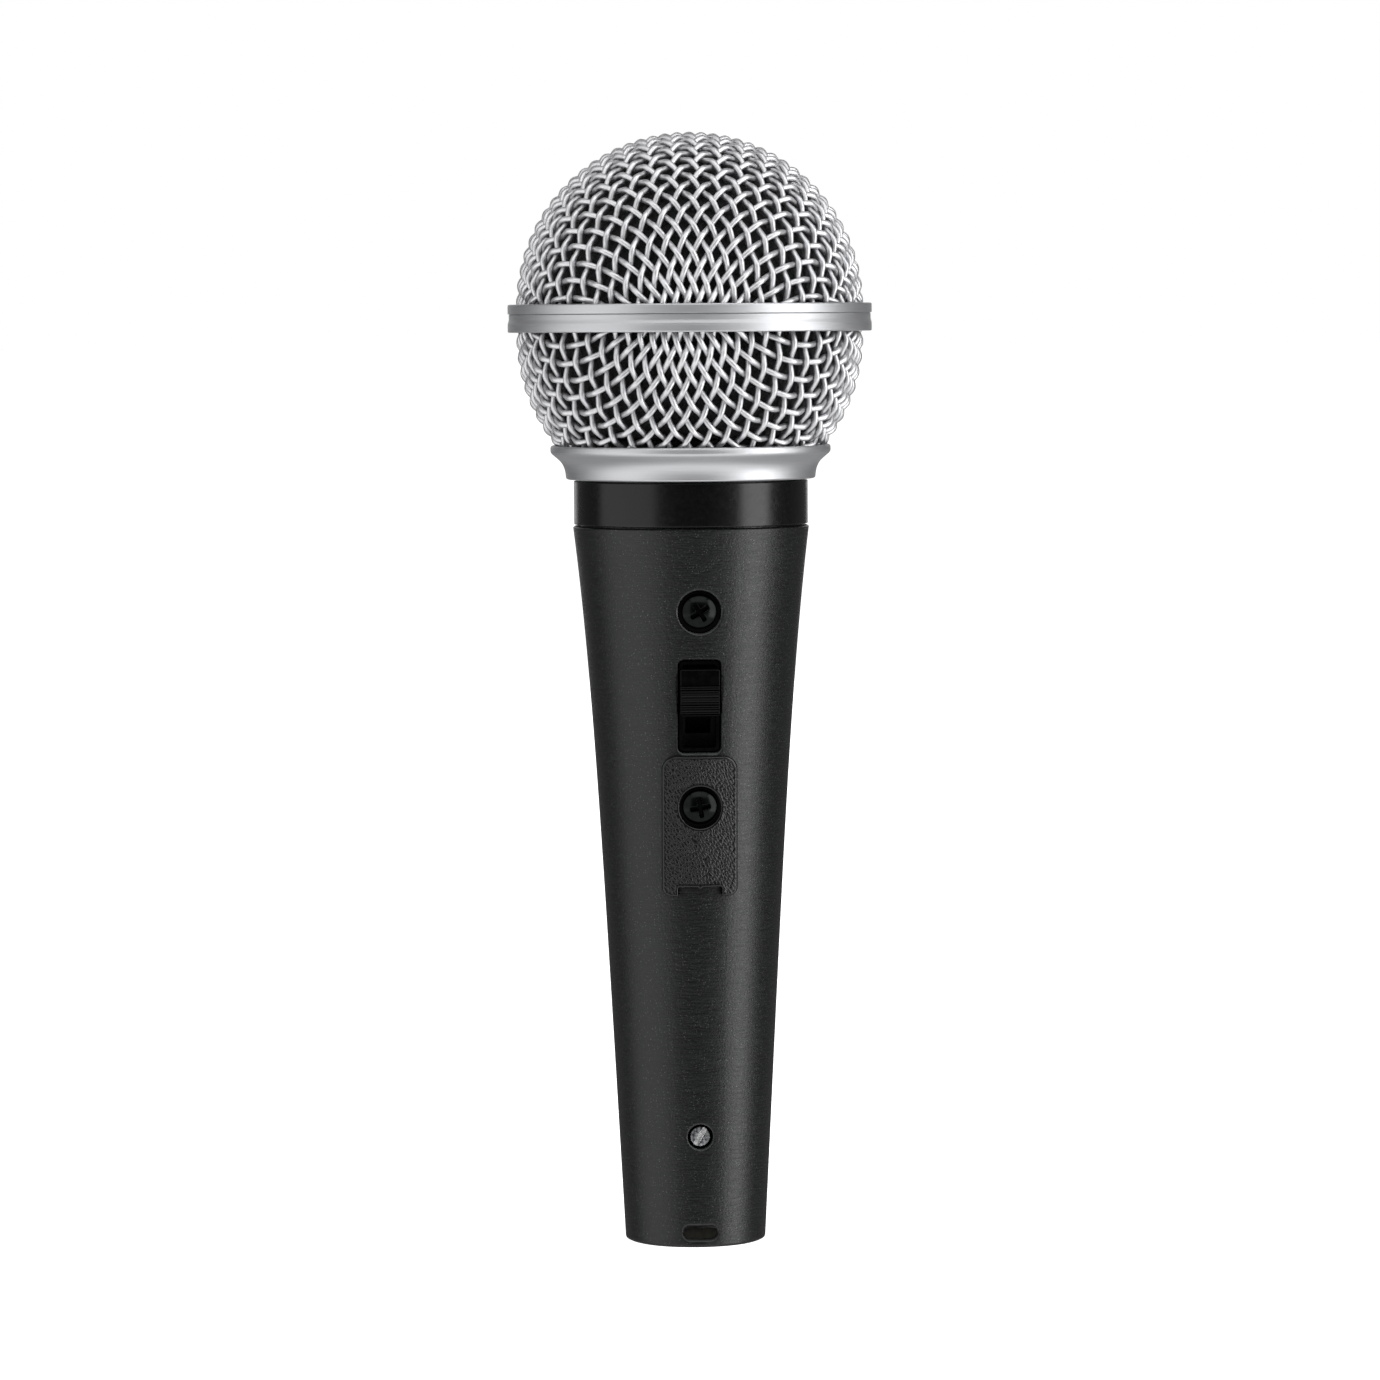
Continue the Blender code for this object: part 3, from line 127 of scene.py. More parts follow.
def finely(profile, step):
    """The same profile with points added, so that no two are further apart than a step (mm)."""
    profile = np.asarray(profile, float)
    counts = np.maximum(1, np.ceil(np.hypot(*np.diff(profile, axis=0).T) / step)).astype(int)
    along = [first + np.arange(count) / count for first, count in enumerate(counts)]
    along = np.append(np.concatenate(along), len(profile) - 1)
    return np.stack([np.interp(along, np.arange(len(profile)), part) for part in profile.T], axis=1)


def smooth_path(knots, steps):
    """Catmull-Rom curves through knots (curves, knots, coordinates): steps points for each span."""
    t = (np.arange(steps) / steps)[:, None]
    before, here, after, beyond = knots[:, :-3], knots[:, 1:-2], knots[:, 2:-1], knots[:, 3:]
    curve = 0.5 * (2 * here[:, :, None] + (after - before)[:, :, None] * t
                   + (2 * before - 5 * here + 4 * after - beyond)[:, :, None] * t ** 2
                   + (3 * here - 3 * after + beyond - before)[:, :, None] * t ** 3)
    return curve.reshape(len(knots), -1, knots.shape[-1])


def points_of(made):
    """A piece's points as x, y and z rows, in mm."""
    points = np.empty(len(made.data.vertices) * 3)
    made.data.vertices.foreach_get("co", points)
    return points.reshape(-1, 3).T / MM


def mark(made, name, share):
    """Stores one number for each point of a piece, which its material reads by name."""
    made.data.attributes.new(name, "FLOAT", "POINT").data.foreach_set("value", share)


# %% [markdown]
# Colours are written as sRGB hex values, the way a paint chart gives them, and one function turns
# them linear. One small function adds a node, so that a material reads as a list of its layers.


# %% Colour and nodes
def linear(hex_colour):
    """An sRGB hex value as linear red, green, blue and alpha."""
    channels = [int(hex_colour[i:i + 2], 16) / 255 for i in (1, 3, 5)]
    return (*[c / 12.92 if c <= 0.04045 else ((c + 0.055) / 1.055) ** 2.4 for c in channels], 1.0)


def add(tree, kind, inputs=None, **settings):
    """Adds a node: settings are its properties, and an input is a value or another node's output."""
    made = tree.nodes.new("ShaderNode" + kind)
    for key, value in settings.items():
        setattr(made, key, value)
    for key, value in (inputs or {}).items():
        if isinstance(value, bpy.types.NodeSocket):
            tree.links.new(value, made.inputs[key])
        else:
            made.inputs[key].default_value = value
    return made


def material(name, colour, roughness, metallic=0.0, **sockets):
    """A Principled material with plain values, as (material, tree, shader); the caller adds texture."""
    made = bpy.data.materials.new(name)
    made.use_nodes = True
    shader = made.node_tree.nodes["Principled BSDF"]
    shader.inputs["Base Color"].default_value = linear(colour)
    shader.inputs["Roughness"].default_value = roughness
    shader.inputs["Metallic"].default_value = metallic
    for key, value in sockets.items():
        shader.inputs[key.replace("_", " ")].default_value = value
    return made, made.node_tree, shader


def per_metre(millimetres):
    """A texture scale whose features repeat about every so many millimetres."""
    return 1.0 / (millimetres * MM)


def speckle(tree, shader, size, colours=None, roughness=None, bump=0.0, detail=3.0, stretch=(1, 1, 1)):
    """Cloudy variation of one grain size (mm) that drives colour, roughness and a bump (mm deep)."""
    place = add(tree, "TexCoord").outputs["Object"]
    place = add(tree, "Mapping", {"Vector": place, "Scale": stretch}).outputs["Vector"]
    noise = add(tree, "TexNoise", {"Vector": place, "Scale": per_metre(size), "Detail": detail})
    grain = noise.outputs["Fac"]
    if colours:
        ramp = add(tree, "ValToRGB", {"Fac": grain})
        ramp.color_ramp.elements[0].position, ramp.color_ramp.elements[1].position = 0.35, 0.65
        ramp.color_ramp.elements[0].color, ramp.color_ramp.elements[1].color = map(linear, colours)
        tree.links.new(ramp.outputs["Color"], shader.inputs["Base Color"])
    if roughness:
        spread = add(tree, "MapRange", {"Value": grain, "From Min": 0.3, "From Max": 0.7,
                                        "To Min": roughness[0], "To Max": roughness[1]})
        tree.links.new(spread.outputs["Result"], shader.inputs["Roughness"])
    if bump:
        relief = add(tree, "Bump", {"Height": grain, "Distance": bump * MM, "Strength": 1.0})
        tree.links.new(relief.outputs["Normal"], shader.inputs["Normal"])
    return grain


# %% [markdown]
# ## Finishes
# The handle is a zinc die casting under a baked charcoal enamel: a hard, even satin coat with a
# faint grit. The bright parts are nickel plate over brass and steel. Nickel is slightly warmer and
# darker than chrome, and the satin bath leaves a very fine haze that spreads each highlight.


# %% The outside finishes
def clouded(name, colour, size, tones, roughness, metallic=0.0, bump=0.003, stretch=(1, 1, 1), **sockets):
    """A finish whose tone and roughness drift between two values, at one grain size (mm)."""
    made, tree, shader = material(name, colour, sum(roughness) / 2, metallic, **sockets)
    speckle(tree, shader, size, tones, roughness, bump=bump, stretch=stretch)
    return made


def baked_enamel():
    """Charcoal enamel baked on a zinc casting: satin, with drag marks round it and bright specks.

    The specks are flakes in the enamel. The drag marks run level, because the handle was turned
    on a spindle while it was sprayed. A hole's edge is rubbed through to the zinc and lightened, partly
    wear and partly a painted highlight of the edge's glint.
    """
    made, tree, shader = material("baked_charcoal_enamel", "#0a0b0b", 0.4, Specular_IOR_Level=0.35)
    place = add(tree, "TexCoord").outputs["Object"]
    grit = add(tree, "TexNoise", {"Vector": place, "Scale": per_metre(0.35),
                                  "Detail": 3.0}).outputs["Fac"]
    level = add(tree, "Mapping", {"Vector": place, "Scale": (0.12, 0.12, 1.0)}).outputs["Vector"]
    drag = add(tree, "TexNoise", {"Vector": level, "Scale": per_metre(0.3), "Detail": 2.0}).outputs["Fac"]
    both = add(tree, "Math", {0: grit, 1: drag}, operation="ADD").outputs["Value"]
    coat = add(tree, "ValToRGB", {"Fac": add(tree, "MapRange", {
        "Value": both, "From Min": 0.75, "From Max": 1.25}).outputs["Result"]})
    coat.color_ramp.elements[0].color = linear("#060807")
    coat.color_ramp.elements[1].color = linear("#0f1211")
    cells = add(tree, "TexVoronoi", {"Vector": place, "Scale": per_metre(0.36)})
    flake = add(tree, "MapRange", {"Value": cells.outputs["Distance"], "From Min": 0.28,
                                   "From Max": 0.08}).outputs["Result"]
    turned_up = add(tree, "MapRange", {"Value": cells.outputs["Color"], "From Min": 0.35, "From Max": 0.8,
                                       "To Max": 0.75}).outputs["Result"]
    flake = add(tree, "Math", {0: flake, 1: turned_up}, operation="MULTIPLY").outputs["Value"]
    colour = add(tree, "Mix", {"Factor": flake, "A": coat.outputs["Color"], "B": linear("#6d716f")},
                 data_type="RGBA").outputs["Result"]
    # The hole rims are lightened towards bare zinc: wear, and a painted highlight of their glint.
    wear_and_glint = add(tree, "Attribute", attribute_name="wear_and_glint").outputs["Fac"]
    wear_and_glint = add(tree, "Math", {0: wear_and_glint, 1: 0.15}, operation="MULTIPLY").outputs["Value"]
    tree.links.new(add(tree, "Mix", {"Factor": wear_and_glint, "A": colour, "B": linear("#8d908f")},
                       data_type="RGBA").outputs["Result"], shader.inputs["Base Color"])
    tree.links.new(add(tree, "Math", {0: wear_and_glint, 1: flake}, operation="MAXIMUM").outputs["Value"],
                   shader.inputs["Metallic"])
    tree.links.new(add(tree, "MapRange", {"Value": both, "From Min": 0.7, "From Max": 1.3, "To Min": 0.29,
                                          "To Max": 0.45}).outputs["Result"], shader.inputs["Roughness"])
    tree.links.new(add(tree, "Bump", {"Height": both, "Distance": 0.045 * MM}).outputs["Normal"],
                   shader.inputs["Normal"])
    return made


def bright_screw():
    """Zinc-plated steel screw: its face is scuffed grey by a driver, and its slot is painted near white,
    a painted highlight.
    """
    made, tree, shader = material("bright_zinc_plated_screw", "#c4c6c8", 0.3, 1.0)
    speckle(tree, shader, 0.45, ("#4c4e50", "#c2c4c6"), (0.3, 0.5), bump=0.04, detail=4.0)
    scuffed = shader.inputs["Base Color"].links[0].from_socket
    # Painted highlight: the slot's points are painted near white.
    slot_highlight = add(tree, "Attribute", attribute_name="slot_highlight").outputs["Fac"]
    tree.links.new(add(tree, "Mix", {"Factor": slot_highlight, "A": scuffed, "B": linear("#f4f4f4")},
                       data_type="RGBA").outputs["Result"], shader.inputs["Base Color"])
    return made


def grained_plate():
    """Black plate moulded against an etched die: satin pebbles with duller valleys between them, painted
    darker there as shade.
    """
    made, tree, shader = material("etched_grain_black_moulding", "#080909", 0.3, Specular_IOR_Level=0.34)
    pebble = add(tree, "Attribute", attribute_name="pebble").outputs["Fac"]
    gloss = add(tree, "MapRange", {"Value": pebble, "To Min": 0.4, "To Max": 0.23}).outputs["Result"]
    tree.links.new(gloss, shader.inputs["Roughness"])
    # Painted shade: the valleys between the pebbles get the darker tone.
    valley_shade = add(tree, "ValToRGB", {"Fac": pebble})
    valley_shade.color_ramp.elements[0].color = linear("#020202")
    valley_shade.color_ramp.elements[1].color = linear("#060707")
    tree.links.new(valley_shade.outputs["Color"], shader.inputs["Base Color"])
    place = add(tree, "TexCoord").outputs["Object"]
    grit = add(tree, "TexNoise", {"Vector": place, "Scale": per_metre(0.2)}).outputs["Fac"]
    bump = add(tree, "Bump", {"Height": grit, "Distance": 0.012 * MM})
    tree.links.new(bump.outputs["Normal"], shader.inputs["Normal"])
    return made


def open_foam():
    """Open-cell polyurethane foam, dyed black: no gloss, with pores that catch specks of light."""
    made, tree, shader = material("open_cell_black_foam", "#0a0a0b", 0.95, Sheen_Weight=0.05)
    place = add(tree, "TexCoord").outputs["Object"]
    pores = add(tree, "TexVoronoi", {"Vector": place, "Scale": per_metre(0.7)})
    ramp = add(tree, "ValToRGB", {"Fac": pores.outputs["Distance"]})
    ramp.color_ramp.elements[0].color = linear("#040404")
    ramp.color_ramp.elements[1].color = linear("#17181a")
    ramp.color_ramp.elements[1].position = 0.7
    tree.links.new(ramp.outputs["Color"], shader.inputs["Base Color"])
    bump = add(tree, "Bump", {"Height": pores.outputs["Distance"], "Distance": 0.3 * MM})
    tree.links.new(bump.outputs["Normal"], shader.inputs["Normal"])
    return made


ENAMEL = baked_enamel()
# Nickel plate on turned brass: a deep satin, with a trace of the lathe's rings.
NICKEL = clouded("satin_nickel_plate", "#bcbdbf", 0.6, ("#b9babc", "#bfc0c2"), (0.48, 0.52), 1.0, 0.001,
                 (0.1, 0.1, 4.0))
# Drawn steel wire, woven and then nickel plated: a pale satin, a little uneven at the bends.
WIRE = clouded("plated_woven_wire", "#d2d2d4", 0.6, ("#cacacc", "#dadadc"), (0.46, 0.56), 1.0)
# Black lacquer on a turned ring: smooth satin.
LACQUER = clouded("satin_black_lacquer", "#060606", 0.8, ("#050505", "#080808"), (0.2, 0.28), bump=0.001,
                  Specular_IOR_Level=0.3)
# Black nylon moulded in a polished die: it mirrors the dark in front of it, so only edges show.
NYLON = clouded("polished_black_nylon", "#030303", 1.2, ("#020202", "#050505"), (0.18, 0.3),
                Specular_IOR_Level=0.08)
# Steel screws, black zinc plated: a dark metal gloss.
OXIDE = clouded("black_zinc_plated_screw", "#171818", 0.9, ("#151616", "#191a1a"), (0.16, 0.22), 1.0,
                0.0005)
BRIGHT = bright_screw()
GRAINED = grained_plate()
OPEN_FOAM = open_foam()
print("outside finishes:", len(bpy.data.materials))

# %% [markdown]
# ## Cut sheets
# Several pieces are a skin with an outline or with holes in it: the handle round its switch
# opening, the lock plate, the screw heads with their driver recess. They could be cut with
# Booleans, but that leaves long thin faces which shade badly on a curve. Here the skin is a fine
# grid, and a distance function says how far each point is inside the material. Grid points next
# to an edge are moved exactly on to it, and the skin then rolls over the edge and down a wall.


# %% A skin cut by a distance function
def slope_of(distance, a, b, step=1e-3):
    """Gradient of a distance function by central differences."""
    da = (distance(a + step, b) - distance(a - step, b)) / (2 * step)
    db = (distance(a, b + step) - distance(a, b - step)) / (2 * step)
    return da, db


def near(mask, ring):
    """Marks each grid point that has a marked point among its eight neighbours."""
    wide = np.pad(mask, 1)
    if ring:
        wide[:, 0], wide[:, -1] = wide[:, -2], wide[:, 1]
    out = np.zeros_like(mask)
    for i in range(3):
        for j in range(3):
            out |= wide[i:i + mask.shape[0], j:j + mask.shape[1]]
    return out


def cut_sheet(a, b, distance, above, below, ring=False, snap=0.3):
    """A skin over the grid (a, b) where distance is positive, its under skin, and the walls between.

    a, b      grid coordinates, as 2-D arrays; rows run down the outside, columns to the right
    distance  function of (a, b): how far inside the material, in mm
    above     function of (a, b, d) that gives the outer skin's points for depth d from the edge
    below     the same for the under skin
    """
    spacing = np.abs(np.diff(a, axis=1)).min()
    d = distance(a, b)
    inside = d > snap * spacing
    edge = near(inside, ring) & ~inside
    a, b = a.copy(), b.copy()
    for _ in range(4):
        reach = np.where(edge, distance(a, b), 0.0)
        da, db = slope_of(distance, a, b)
        size = np.maximum(da ** 2 + db ** 2, 0.25)
        a -= reach * da / size
        b -= reach * db / size
    d = np.where(edge, 0.0, np.maximum(d, 0.0))
    rows, columns = a.shape
    faces = grid_faces(rows, columns, ring=ring)
    used = inside.ravel() | edge.ravel()
    keep = used[faces].all(axis=1) & inside.ravel()[faces].any(axis=1)
    faces = faces[keep]
    top, bottom = above(a, b, d).reshape(-1, 3), below(a, b, d).reshape(-1, 3)
    sides = np.concatenate([faces[:, [i, (i + 1) % 4]] for i in range(4)])
    key = np.sort(sides, axis=1)
    key = key[:, 0] * (rows * columns) + key[:, 1]
    _, first, count = np.unique(key, return_index=True, return_counts=True)
    rim = sides[first[count == 1]]
    under = faces[:, ::-1] + rows * columns
    rim_under = rim + rows * columns
    wall = np.stack([rim[:, 1], rim[:, 0], rim_under[:, 0], rim_under[:, 1]], axis=1)
    points = np.concatenate([top, bottom])
    every = np.concatenate([faces, under, wall])
    kept, index = np.unique(every, return_inverse=True)
    return points[kept], index.reshape(every.shape)


def disc_grid(radius, spacing=0.07):
    """A square grid a little wider than a disc: x to the right, and y from the top row down."""
    line = np.arange(-radius - spacing, radius + 1.01 * spacing, spacing)
    grid_y, grid_x = np.meshgrid(line[::-1], line, indexing="ij")
    return grid_x, grid_y


def box_distance(x, y, half_x, half_y, corner):
    """Distance outside a rounded rectangle centred on the origin; negative inside it."""
    over_x = np.abs(x) - half_x + corner
    over_y = np.abs(y) - half_y + corner
    outside = np.hypot(np.maximum(over_x, 0), np.maximum(over_y, 0))
    return outside + np.minimum(np.maximum(over_x, over_y), 0) - corner


def roll(d, radius):
    """How far a skin has dropped at depth d from an edge that is rounded to a radius."""
    short = np.clip(radius - d, 0, radius)
    return radius - np.sqrt(radius ** 2 - short ** 2)


# %% [markdown]
# ## The handle's shape
# The casting widens slowly from the tail and faster near the top, so its radius is a straight
# taper plus a fifth power of the height. All the front features are set square to the surface at
# the switch, so they share one tilted frame: x across, u up along the surface, w out of it.

# %% The handle's law and the front frame
TAIL_RADIUS, TAPER, FLARE, FLARE_POWER = 12.08, 0.0525, 1.75, 5
SHOULDER_Z = 123.4
FRONT_Z = 93.0


def handle_radius(z):
    """Radius in mm: a straight taper plus a fifth-power flare."""
    return TAIL_RADIUS + TAPER * z + FLARE * (np.asarray(z) / SHOULDER_Z) ** FLARE_POWER


FRONT_SLOPE = TAPER + FLARE * FLARE_POWER / SHOULDER_Z * (FRONT_Z / SHOULDER_Z) ** (FLARE_POWER - 1)
TILT = math.atan(FRONT_SLOPE)
COS_T, SIN_T = math.cos(TILT), math.sin(TILT)
FRONT_RADIUS = float(handle_radius(FRONT_Z))


def front(x, u, w):
    """World points of the front frame: w out of the surface, u up along it, x across."""
    x, u, w = np.broadcast_arrays(x, u, w)
    return np.stack([x, -FRONT_RADIUS - w * COS_T - u * SIN_T, FRONT_Z - w * SIN_T + u * COS_T], axis=-1)


def front_up(z):
    """The front frame's u for a height z."""
    return (z - FRONT_Z) / COS_T


def to_front(points):
    """Moves points made about the Z axis so that Z points out of the front frame's origin."""
    return front(points[..., 0], points[..., 1], points[..., 2])


def on_front(made, z):
    """Stands a piece that was turned about Z on the handle's front at a height z, its faces outward."""
    points, faces = made
    return to_front(points + np.array([0, front_up(z), 0])), faces[:, ::-1]


def on_surface(x, u, lift):
    """Points over the handle at front coordinates (x, u), lifted off the surface along its radius."""
    z = FRONT_Z + u * COS_T
    for _ in range(3):
        y = -np.sqrt((handle_radius(z) + lift) ** 2 - x ** 2)
        z = FRONT_Z + (u + (y + FRONT_RADIUS) * SIN_T) / COS_T
    return np.stack([x, y, z], axis=-1)


print("front features lean", round(math.degrees(TILT), 2), "degrees from level")

# %% [markdown]
# ## The handle casting
# One skin runs all round. The grid's lines lie close together over the features and far apart
# elsewhere, so the holes are crisp without spending faces on the plain parts. The inside skin is
# the same grid moved in by the wall, and the neck above carries a real helical thread.

# %% The handle casting
UPPER_SCREW_Z, LOCK_SCREW_Z, INSERT_SCREW_Z, LATCH_Z = 109.31, 76.15, 19.2, 2.55
OPENING_Z, OPENING_HALF_WIDTH, OPENING_HALF_HEIGHT = 93.2, 3.7, 8.0
OPENING_CORNER = 1.0
LATCH_HALF_WIDTH, LATCH_HALF_HEIGHT, LATCH_CORNER = 3.05, 1.35, 1.3
COUNTERBORE, BOSS_SEAT, INSERT_HOLE = 3.73, 4.4, 2.2
SCREW_HOLE, FLOOR_BACK = 1.6, 2.3
EDGE_ROLL, TAIL_ROLL, SHOULDER_ROLL = 0.22, 0.45, 0.3
WALL = 2.2
SOCKET_RADIUS, SOCKET_TOP = 9.75, 25.7
FINE_STEP, COARSE_STEP, COARSE_ANGLE = 0.2, 2.4, 0.08
MEAN_RADIUS = 15.0  # it turns an angle round the handle into mm
NECK_RADIUS, NECK_BORE, NECK_TOP = 18.9, 16.8, 136.0
THREAD_PITCH, THREAD_DEPTH = 1.0, 0.4


def packed(stops, fine, coarse):
    """Positions from the first stop to the last; (low, high, fine?) spans take fine or coarse steps."""
    out = []
    for low, high, is_fine in stops:
        count = max(1, round(abs(high - low) / (fine if is_fine else coarse)))
        out.append(np.linspace(low, high, count, endpoint=False))
    return np.append(np.concatenate(out), stops[-1][1])


def hole_distance(angle, z):
    """How far a point of the handle's skin is from the nearest hole's edge, in mm."""
    radius = handle_radius(z)
    x, y = radius * np.sin(angle), -radius * np.cos(angle)
    u = -(y + FRONT_RADIUS) * SIN_T + (z - FRONT_Z) * COS_T
    gaps = [np.hypot(x, u - front_up(UPPER_SCREW_Z)) - COUNTERBORE,
            np.hypot(x, u - front_up(LOCK_SCREW_Z)) - BOSS_SEAT,
            box_distance(x, u - front_up(OPENING_Z), OPENING_HALF_WIDTH, OPENING_HALF_HEIGHT,
                         OPENING_CORNER),
            np.hypot(x, z - INSERT_SCREW_Z) - INSERT_HOLE,
            box_distance(x, z - LATCH_Z, LATCH_HALF_WIDTH, LATCH_HALF_HEIGHT, LATCH_CORNER)]
    return np.where(np.cos(angle) > 0, np.minimum.reduce(gaps), 50.0)


def handle_skin(angle, z, inset):
    """Points of the skin moved in by inset mm: straight back over the front, towards the axis behind."""
    radius = handle_radius(z)
    x, y = radius * np.sin(angle), -radius * np.cos(angle)
    share = np.clip((np.abs(x) - 6.0) / 5.0, 0, 1)
    share = np.where(y > 0, 1.0, share * share * (3 - 2 * share))
    level = np.clip((z - 40.0) / 20.0, 0, 1)
    into = np.stack([-share * np.sin(angle), (1 - share) + share * np.cos(angle),
                     (1 - share) * level * SIN_T + 0 * z], axis=-1)
    return np.stack([x, y, z + 0 * x], axis=-1) + inset[..., None] * into


def handle_casting():
    """The casting: outer skin with its holes, under skin, rims, counterbore floors and neck."""
    z = packed([(SHOULDER_Z, 122.6, 1), (122.6, 113.8, 0), (113.8, 104.8, 1), (104.8, 102.0, 0),
                (102.0, 84.4, 1), (84.4, 81.2, 0), (81.2, 71.0, 1), (71.0, 22.2, 0), (22.2, 16.4, 1),
                (16.4, 5.2, 0), (5.2, 0.0, 1)], FINE_STEP, COARSE_STEP)
    half = 4.9 / 18.0 + 0.06  # radians: the widest feature over the radius there, and a margin
    side = packed([(-math.pi, -half, 0), (-half, half, 1), (half, math.pi, 0)], FINE_STEP / MEAN_RADIUS,
                  COARSE_ANGLE)[:-1]
    grid_z, grid_a = np.meshgrid(z, side, indexing="ij")

    def distance(a, zz):
        return hole_distance(a / MEAN_RADIUS, zz)

    def skin(a, zz, d):
        ends = roll(zz, TAIL_ROLL) + roll(SHOULDER_Z - zz, SHOULDER_ROLL)
        return handle_skin(a / MEAN_RADIUS, zz, roll(d, EDGE_ROLL) + ends)

    def lining(a, zz, d):
        bore = np.interp(zz, [0, SOCKET_TOP, 30, SHOULDER_Z - 4, SHOULDER_Z],
                         [SOCKET_RADIUS, SOCKET_RADIUS, handle_radius(30) - WALL,
                          handle_radius(SHOULDER_Z - 4) - WALL, NECK_BORE])
        bore = np.where((zz > 30) & (zz < SHOULDER_Z - 4), handle_radius(zz) - WALL, bore)
        return handle_skin(a / MEAN_RADIUS, zz, handle_radius(zz) - bore)

    shell = cut_sheet(grid_a * MEAN_RADIUS, grid_z, distance, skin, lining, ring=True)

    floors = [on_front(turned([(SCREW_HOLE, -depth), (outer, -depth), (outer, -FLOOR_BACK),
                               (SCREW_HOLE, -FLOOR_BACK)], 48), screw_z)
              for screw_z, outer, depth in ((UPPER_SCREW_Z, COUNTERBORE, 1.2),
                                            (LOCK_SCREW_Z, BOSS_SEAT, 1.0))]
    return joined(shell, *floors, neck())


def neck():
    """The neck: radius = crest - depth * (1 - triangle wave of (z / pitch - turn)), faded at its ends."""
    turns, rows = 120, 130
    z = np.linspace(NECK_TOP - 0.3, SHOULDER_Z, rows)
    angle = np.arange(turns) * 2 * math.pi / turns
    grid_z, grid_a = np.meshgrid(z, angle, indexing="ij")
    wave = np.abs(((grid_z / THREAD_PITCH - grid_a / (2 * math.pi)) % 1.0) * 2 - 1)
    fade = np.clip((grid_z - 131.6) / 0.8, 0, 1) * np.clip((NECK_TOP - 0.3 - grid_z) / 0.6, 0, 1)
    radius = NECK_RADIUS - THREAD_DEPTH * fade * wave
    outside = np.stack([radius * np.sin(grid_a), -radius * np.cos(grid_a), grid_z], axis=-1)
    ring = [(NECK_BORE, SHOULDER_Z), (NECK_BORE, NECK_TOP - 0.2), (NECK_BORE + 0.2, NECK_TOP),
            (NECK_RADIUS - 0.3, NECK_TOP)]
    inner = turned(ring, turns)[0].reshape(len(ring), turns, 3)
    points = np.concatenate([outside, inner]).reshape(-1, 3)
    return points, grid_faces(rows + len(ring), turns, closed=True)


casting = piece("handle_casting", *handle_casting(), ENAMEL, "body", ["handle"], "charcoal_enamel",
                sharp=50)


def worn_and_glinting_edges(x, y, z):
    """1 on the roll of a hole's edge and 0 beyond it: near the hole and still near the outer skin. It
    marks wear and a painted highlight.
    """
    depth = handle_radius(np.clip(z, 0, SHOULDER_Z)) - np.hypot(x, y)
    gap = hole_distance(np.arctan2(x, -y), np.clip(z, 0, SHOULDER_Z))
    return np.clip(1 - np.abs(gap) / 0.2, 0, 1) * (depth < 0.25) * (z < SHOULDER_Z - 1)


# Each hole's rim gets its wear and a painted highlight of its glint.
mark(casting, "wear_and_glint", worn_and_glinting_edges(*points_of(casting)))


# %% [markdown]
# ## Rings: the name ring, the collar and the band
# These are lathe work: a profile turned round the axis. The name ring is plain black lacquer. The
# collar flares up through a hollow to a thin lip that holds the wire, and the band that joins the
# two bowls is rolled, with a ridge at each edge and a shallow valley between.

# %% Turned rings
def box_mm(node):
    """Lowest and highest corner of a CAD node, in mm."""
    low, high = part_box(node)
    return np.array(low) / MM, np.array(high) / MM


ring_low, ring_high = box_mm("name_ring")
RING_RADIUS = ring_high[0]
piece("name_ring_turned", *turned(finely(rounded([
    (19.2, ring_high[2]), (RING_RADIUS, ring_high[2]), (RING_RADIUS, ring_low[2]), (19.2, ring_low[2])],
    [0.1, 0.18, 0.18, 0.1]), 0.4)), LACQUER, "body", ["name_ring"], "ring_lacquer")

collar_low, collar_high = box_mm("grille_collar")
LIP, COLLAR_FOOT, COLLAR_TOP = collar_high[0], collar_low[2], collar_high[2]


def collar_profile():
    """A lip, a smooth curve through points down the hollow and the land, and a rounded foot."""
    knots = np.array([[(24.1, 136.9), (LIP, 136.5), (24.06, 136.15), (23.88, 135.82), (23.6, 135.55),
                       (23.26, 135.26), (22.86, 134.92), (22.48, 134.56), (22.12, 134.12), (21.8, 133.5),
                       (21.6, 132.85), (21.5, 132.2), (21.46, 131.6), (21.44, 131.0)]])
    side = smooth_path(knots, 5)[0]
    foot = np.radians(np.linspace(0, 90, 7))
    return finely(np.concatenate([
        [(20.6, COLLAR_TOP), (20.8, COLLAR_TOP - 0.2), (20.8, COLLAR_TOP - 0.5), (23.5, COLLAR_TOP - 0.5),
         (23.6, COLLAR_TOP - 0.15), (23.7, COLLAR_TOP - 0.03), (23.82, COLLAR_TOP),
         (23.95, COLLAR_TOP - 0.08), (24.04, COLLAR_TOP - 0.25), (LIP, COLLAR_TOP - 0.45)],
        side,
        np.stack([21.46 - 0.45 * (1 - np.cos(foot)), COLLAR_FOOT + 0.42 * (1 - np.sin(foot))], axis=1),
        [(19.5, COLLAR_FOOT), (19.3, COLLAR_FOOT + 0.3), (19.3, COLLAR_TOP - 0.1),
         (19.4, COLLAR_TOP)]]), 0.25)


piece("collar_turned", *turned(collar_profile()), NICKEL, "grille", ["grille_collar"], "satin_nickel")

band_low, band_high = box_mm("grille_band")
BAND_RADIUS, BAND_FOOT, BAND_TOP = band_high[0], band_low[2], band_high[2]
BAND_INNER = 30.1
BAND_GROOVE, BAND_RECESS, BAND_LEDGE = 1.68, 0.2, 3.3


